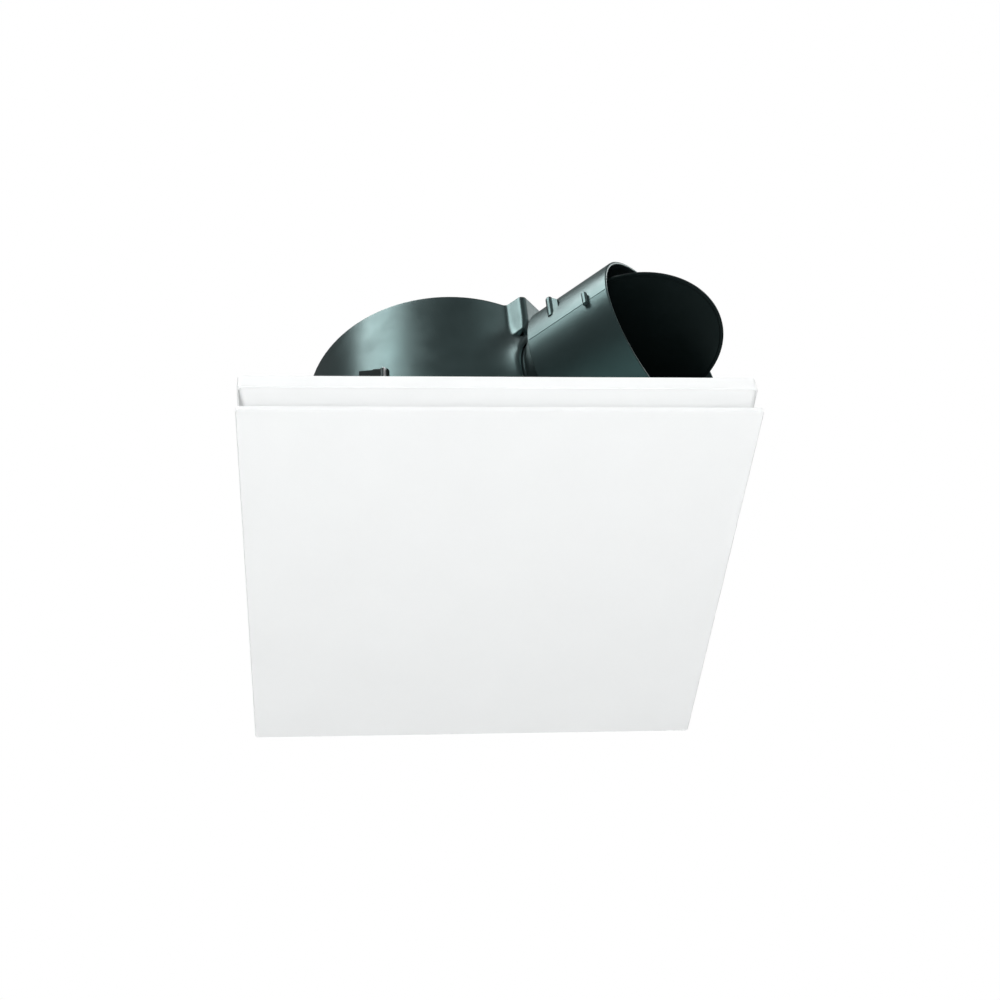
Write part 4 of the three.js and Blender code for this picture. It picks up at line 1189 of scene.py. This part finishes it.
# -------- small pieces
def fascia_studs():
    """Push-in studs on the fascia's posts, with a barbed head that snaps into the frame."""
    for number, place in enumerate(POSTS, 1):
        node = f"fascia_stud_{number}"
        base = heights(node)[0]
        outline = [(0, base), (5, base), (5, base + 1.5), (2.6, base + 1.5), (2.6, base + 7),
                   (4.6, base + 8.5), (4.6, base + 10), (2.4, base + 13), (0, base + 13)]
        turned(node, "fascia", "nylon", outline, 0.5, SMALL, place)


def damper_spindle():
    reach = HINGE_HALF + 2.5
    outline = rectangle(0, PIN_RADIUS, -reach, reach)
    turned("damper_spindle", "housing", "bright_steel", outline, 0.4, SMALL, HINGE_LINE)


# -------- studio
def camera():
    """Below and in front of the fan, looking up at the fascia."""
    data = bpy.data.cameras.new("camera")
    data.lens = 59.08
    data.sensor_width = 36
    made = bpy.data.objects.new("camera", data)
    forward = Vector((0.097, 0.703, 0.704)).normalized()
    up = Vector((0.0025, -0.7075, 0.7062))
    right = forward.cross(up).normalized()
    up = right.cross(forward)
    made.matrix_world = placed(right, up, -forward, Vector((-0.1075, -0.892, -0.801)))
    bpy.context.scene.collection.objects.link(made)
    bpy.context.scene.camera = made


def soft_light(name, place, target, width, height, watts, mirrored=True):
    """A rectangular softbox. An unmirrored one lights surfaces without showing in their gloss."""
    data = bpy.data.lights.new(name, "AREA")
    data.shape = "RECTANGLE"
    data.size = width
    data.size_y = height
    data.energy = watts
    made = bpy.data.objects.new(name, data)
    made.location = place
    made.rotation_mode = "QUATERNION"
    made.rotation_quaternion = (Vector(target) - Vector(place)).to_track_quat("-Z", "Y")
    made.visible_camera = False
    made.visible_glossy = mirrored
    bpy.context.scene.collection.objects.link(made)


def studio_world(white, ambient):
    """White where the camera looks past the fan, and a dimmer even fill for the fan itself."""
    world = bpy.data.worlds.new("studio")
    bpy.context.scene.world = world
    world.use_nodes = True
    tree = world.node_tree
    background = tree.nodes["Background"]
    path = tree.nodes.new("ShaderNodeLightPath")
    strength = tree.nodes.new("ShaderNodeMapRange")
    strength.inputs["To Min"].default_value = ambient
    strength.inputs["To Max"].default_value = white
    tree.links.new(path.outputs["Is Camera Ray"], strength.inputs["Value"])
    tree.links.new(strength.outputs["Result"], background.inputs["Strength"])
    background.inputs["Color"].default_value = (1, 1, 1, 1)


def pale_floor():
    """A wide pale floor far below the fan. It looks evenly bright, and lights the fan only dimly."""
    nodes = Nodes("floor")
    glow = nodes.mapped(nodes.add("LightPath").outputs["Is Camera Ray"], 0.0, 0.85, 0.0, 1.0)
    base = nodes.mixed(nodes.mapped(nodes.noise(3, 4), 0, 1), (0.80, 0.80, 0.80), (0.83, 0.83, 0.83))
    nodes.set(Base_Color=base, Roughness=0.7, Emission_Color=(0.95, 0.97, 0.97, 1), Emission_Strength=glow)
    far = 60000
    floor = to_object("floor", block(-far, far, -far, far, -1320, -1300))
    floor.data.materials.append(nodes.material)


def studio():
    bpy.context.scene.view_settings.view_transform = "Standard"
    camera()
    studio_world(1.0, 0.12)
    pale_floor()
    centre = (0.0, 0.0, 0.1)
    soft_light("key", (-1.9, -1.13, 3.8), centre, 1.8, 2.4, 112)
    soft_light("right", (1.5, -1.3, 2.2), centre, 1.4, 1.4, 6)
    soft_light("side", (1.8, 0.45, 1.75), centre, 1.0, 1.0, 12)
    soft_light("back", (-0.4, 2.6, 1.7), centre, 1.8, 1.2, 34)
    soft_light("front", (0.0, -2.2, 1.6), centre, 2.4, 1.2, 43, mirrored=False)
    soft_light("below", (0.0, -0.4, -1.25), (0, 0, 0), 2.6, 2.6, 30, mirrored=False)


dress_cad_nodes()
fascia_panel()
grille_frame()
drum_housing()
outlet_spigot()
damper_spindle()
damper_flap()
fascia_studs()
frame_screws()
clamp_screws()
clamp_arms()
inlet_ring()
impeller()
impeller_nut()
motor_shaft()
rotor_core()
bearings()
winding("lower_winding")
winding("upper_winding")
thermal_cutout()
motor_cover_lower()
motor_cover_upper()
motor_bolts()
rubber_mounts()
mount_screws()
terminal_base()
terminal_lid()
lid_screws()
terminal_block()
run_capacitor()
cable_gland()
gland_nut()
lead_grommet()
motor_lead()
studio()
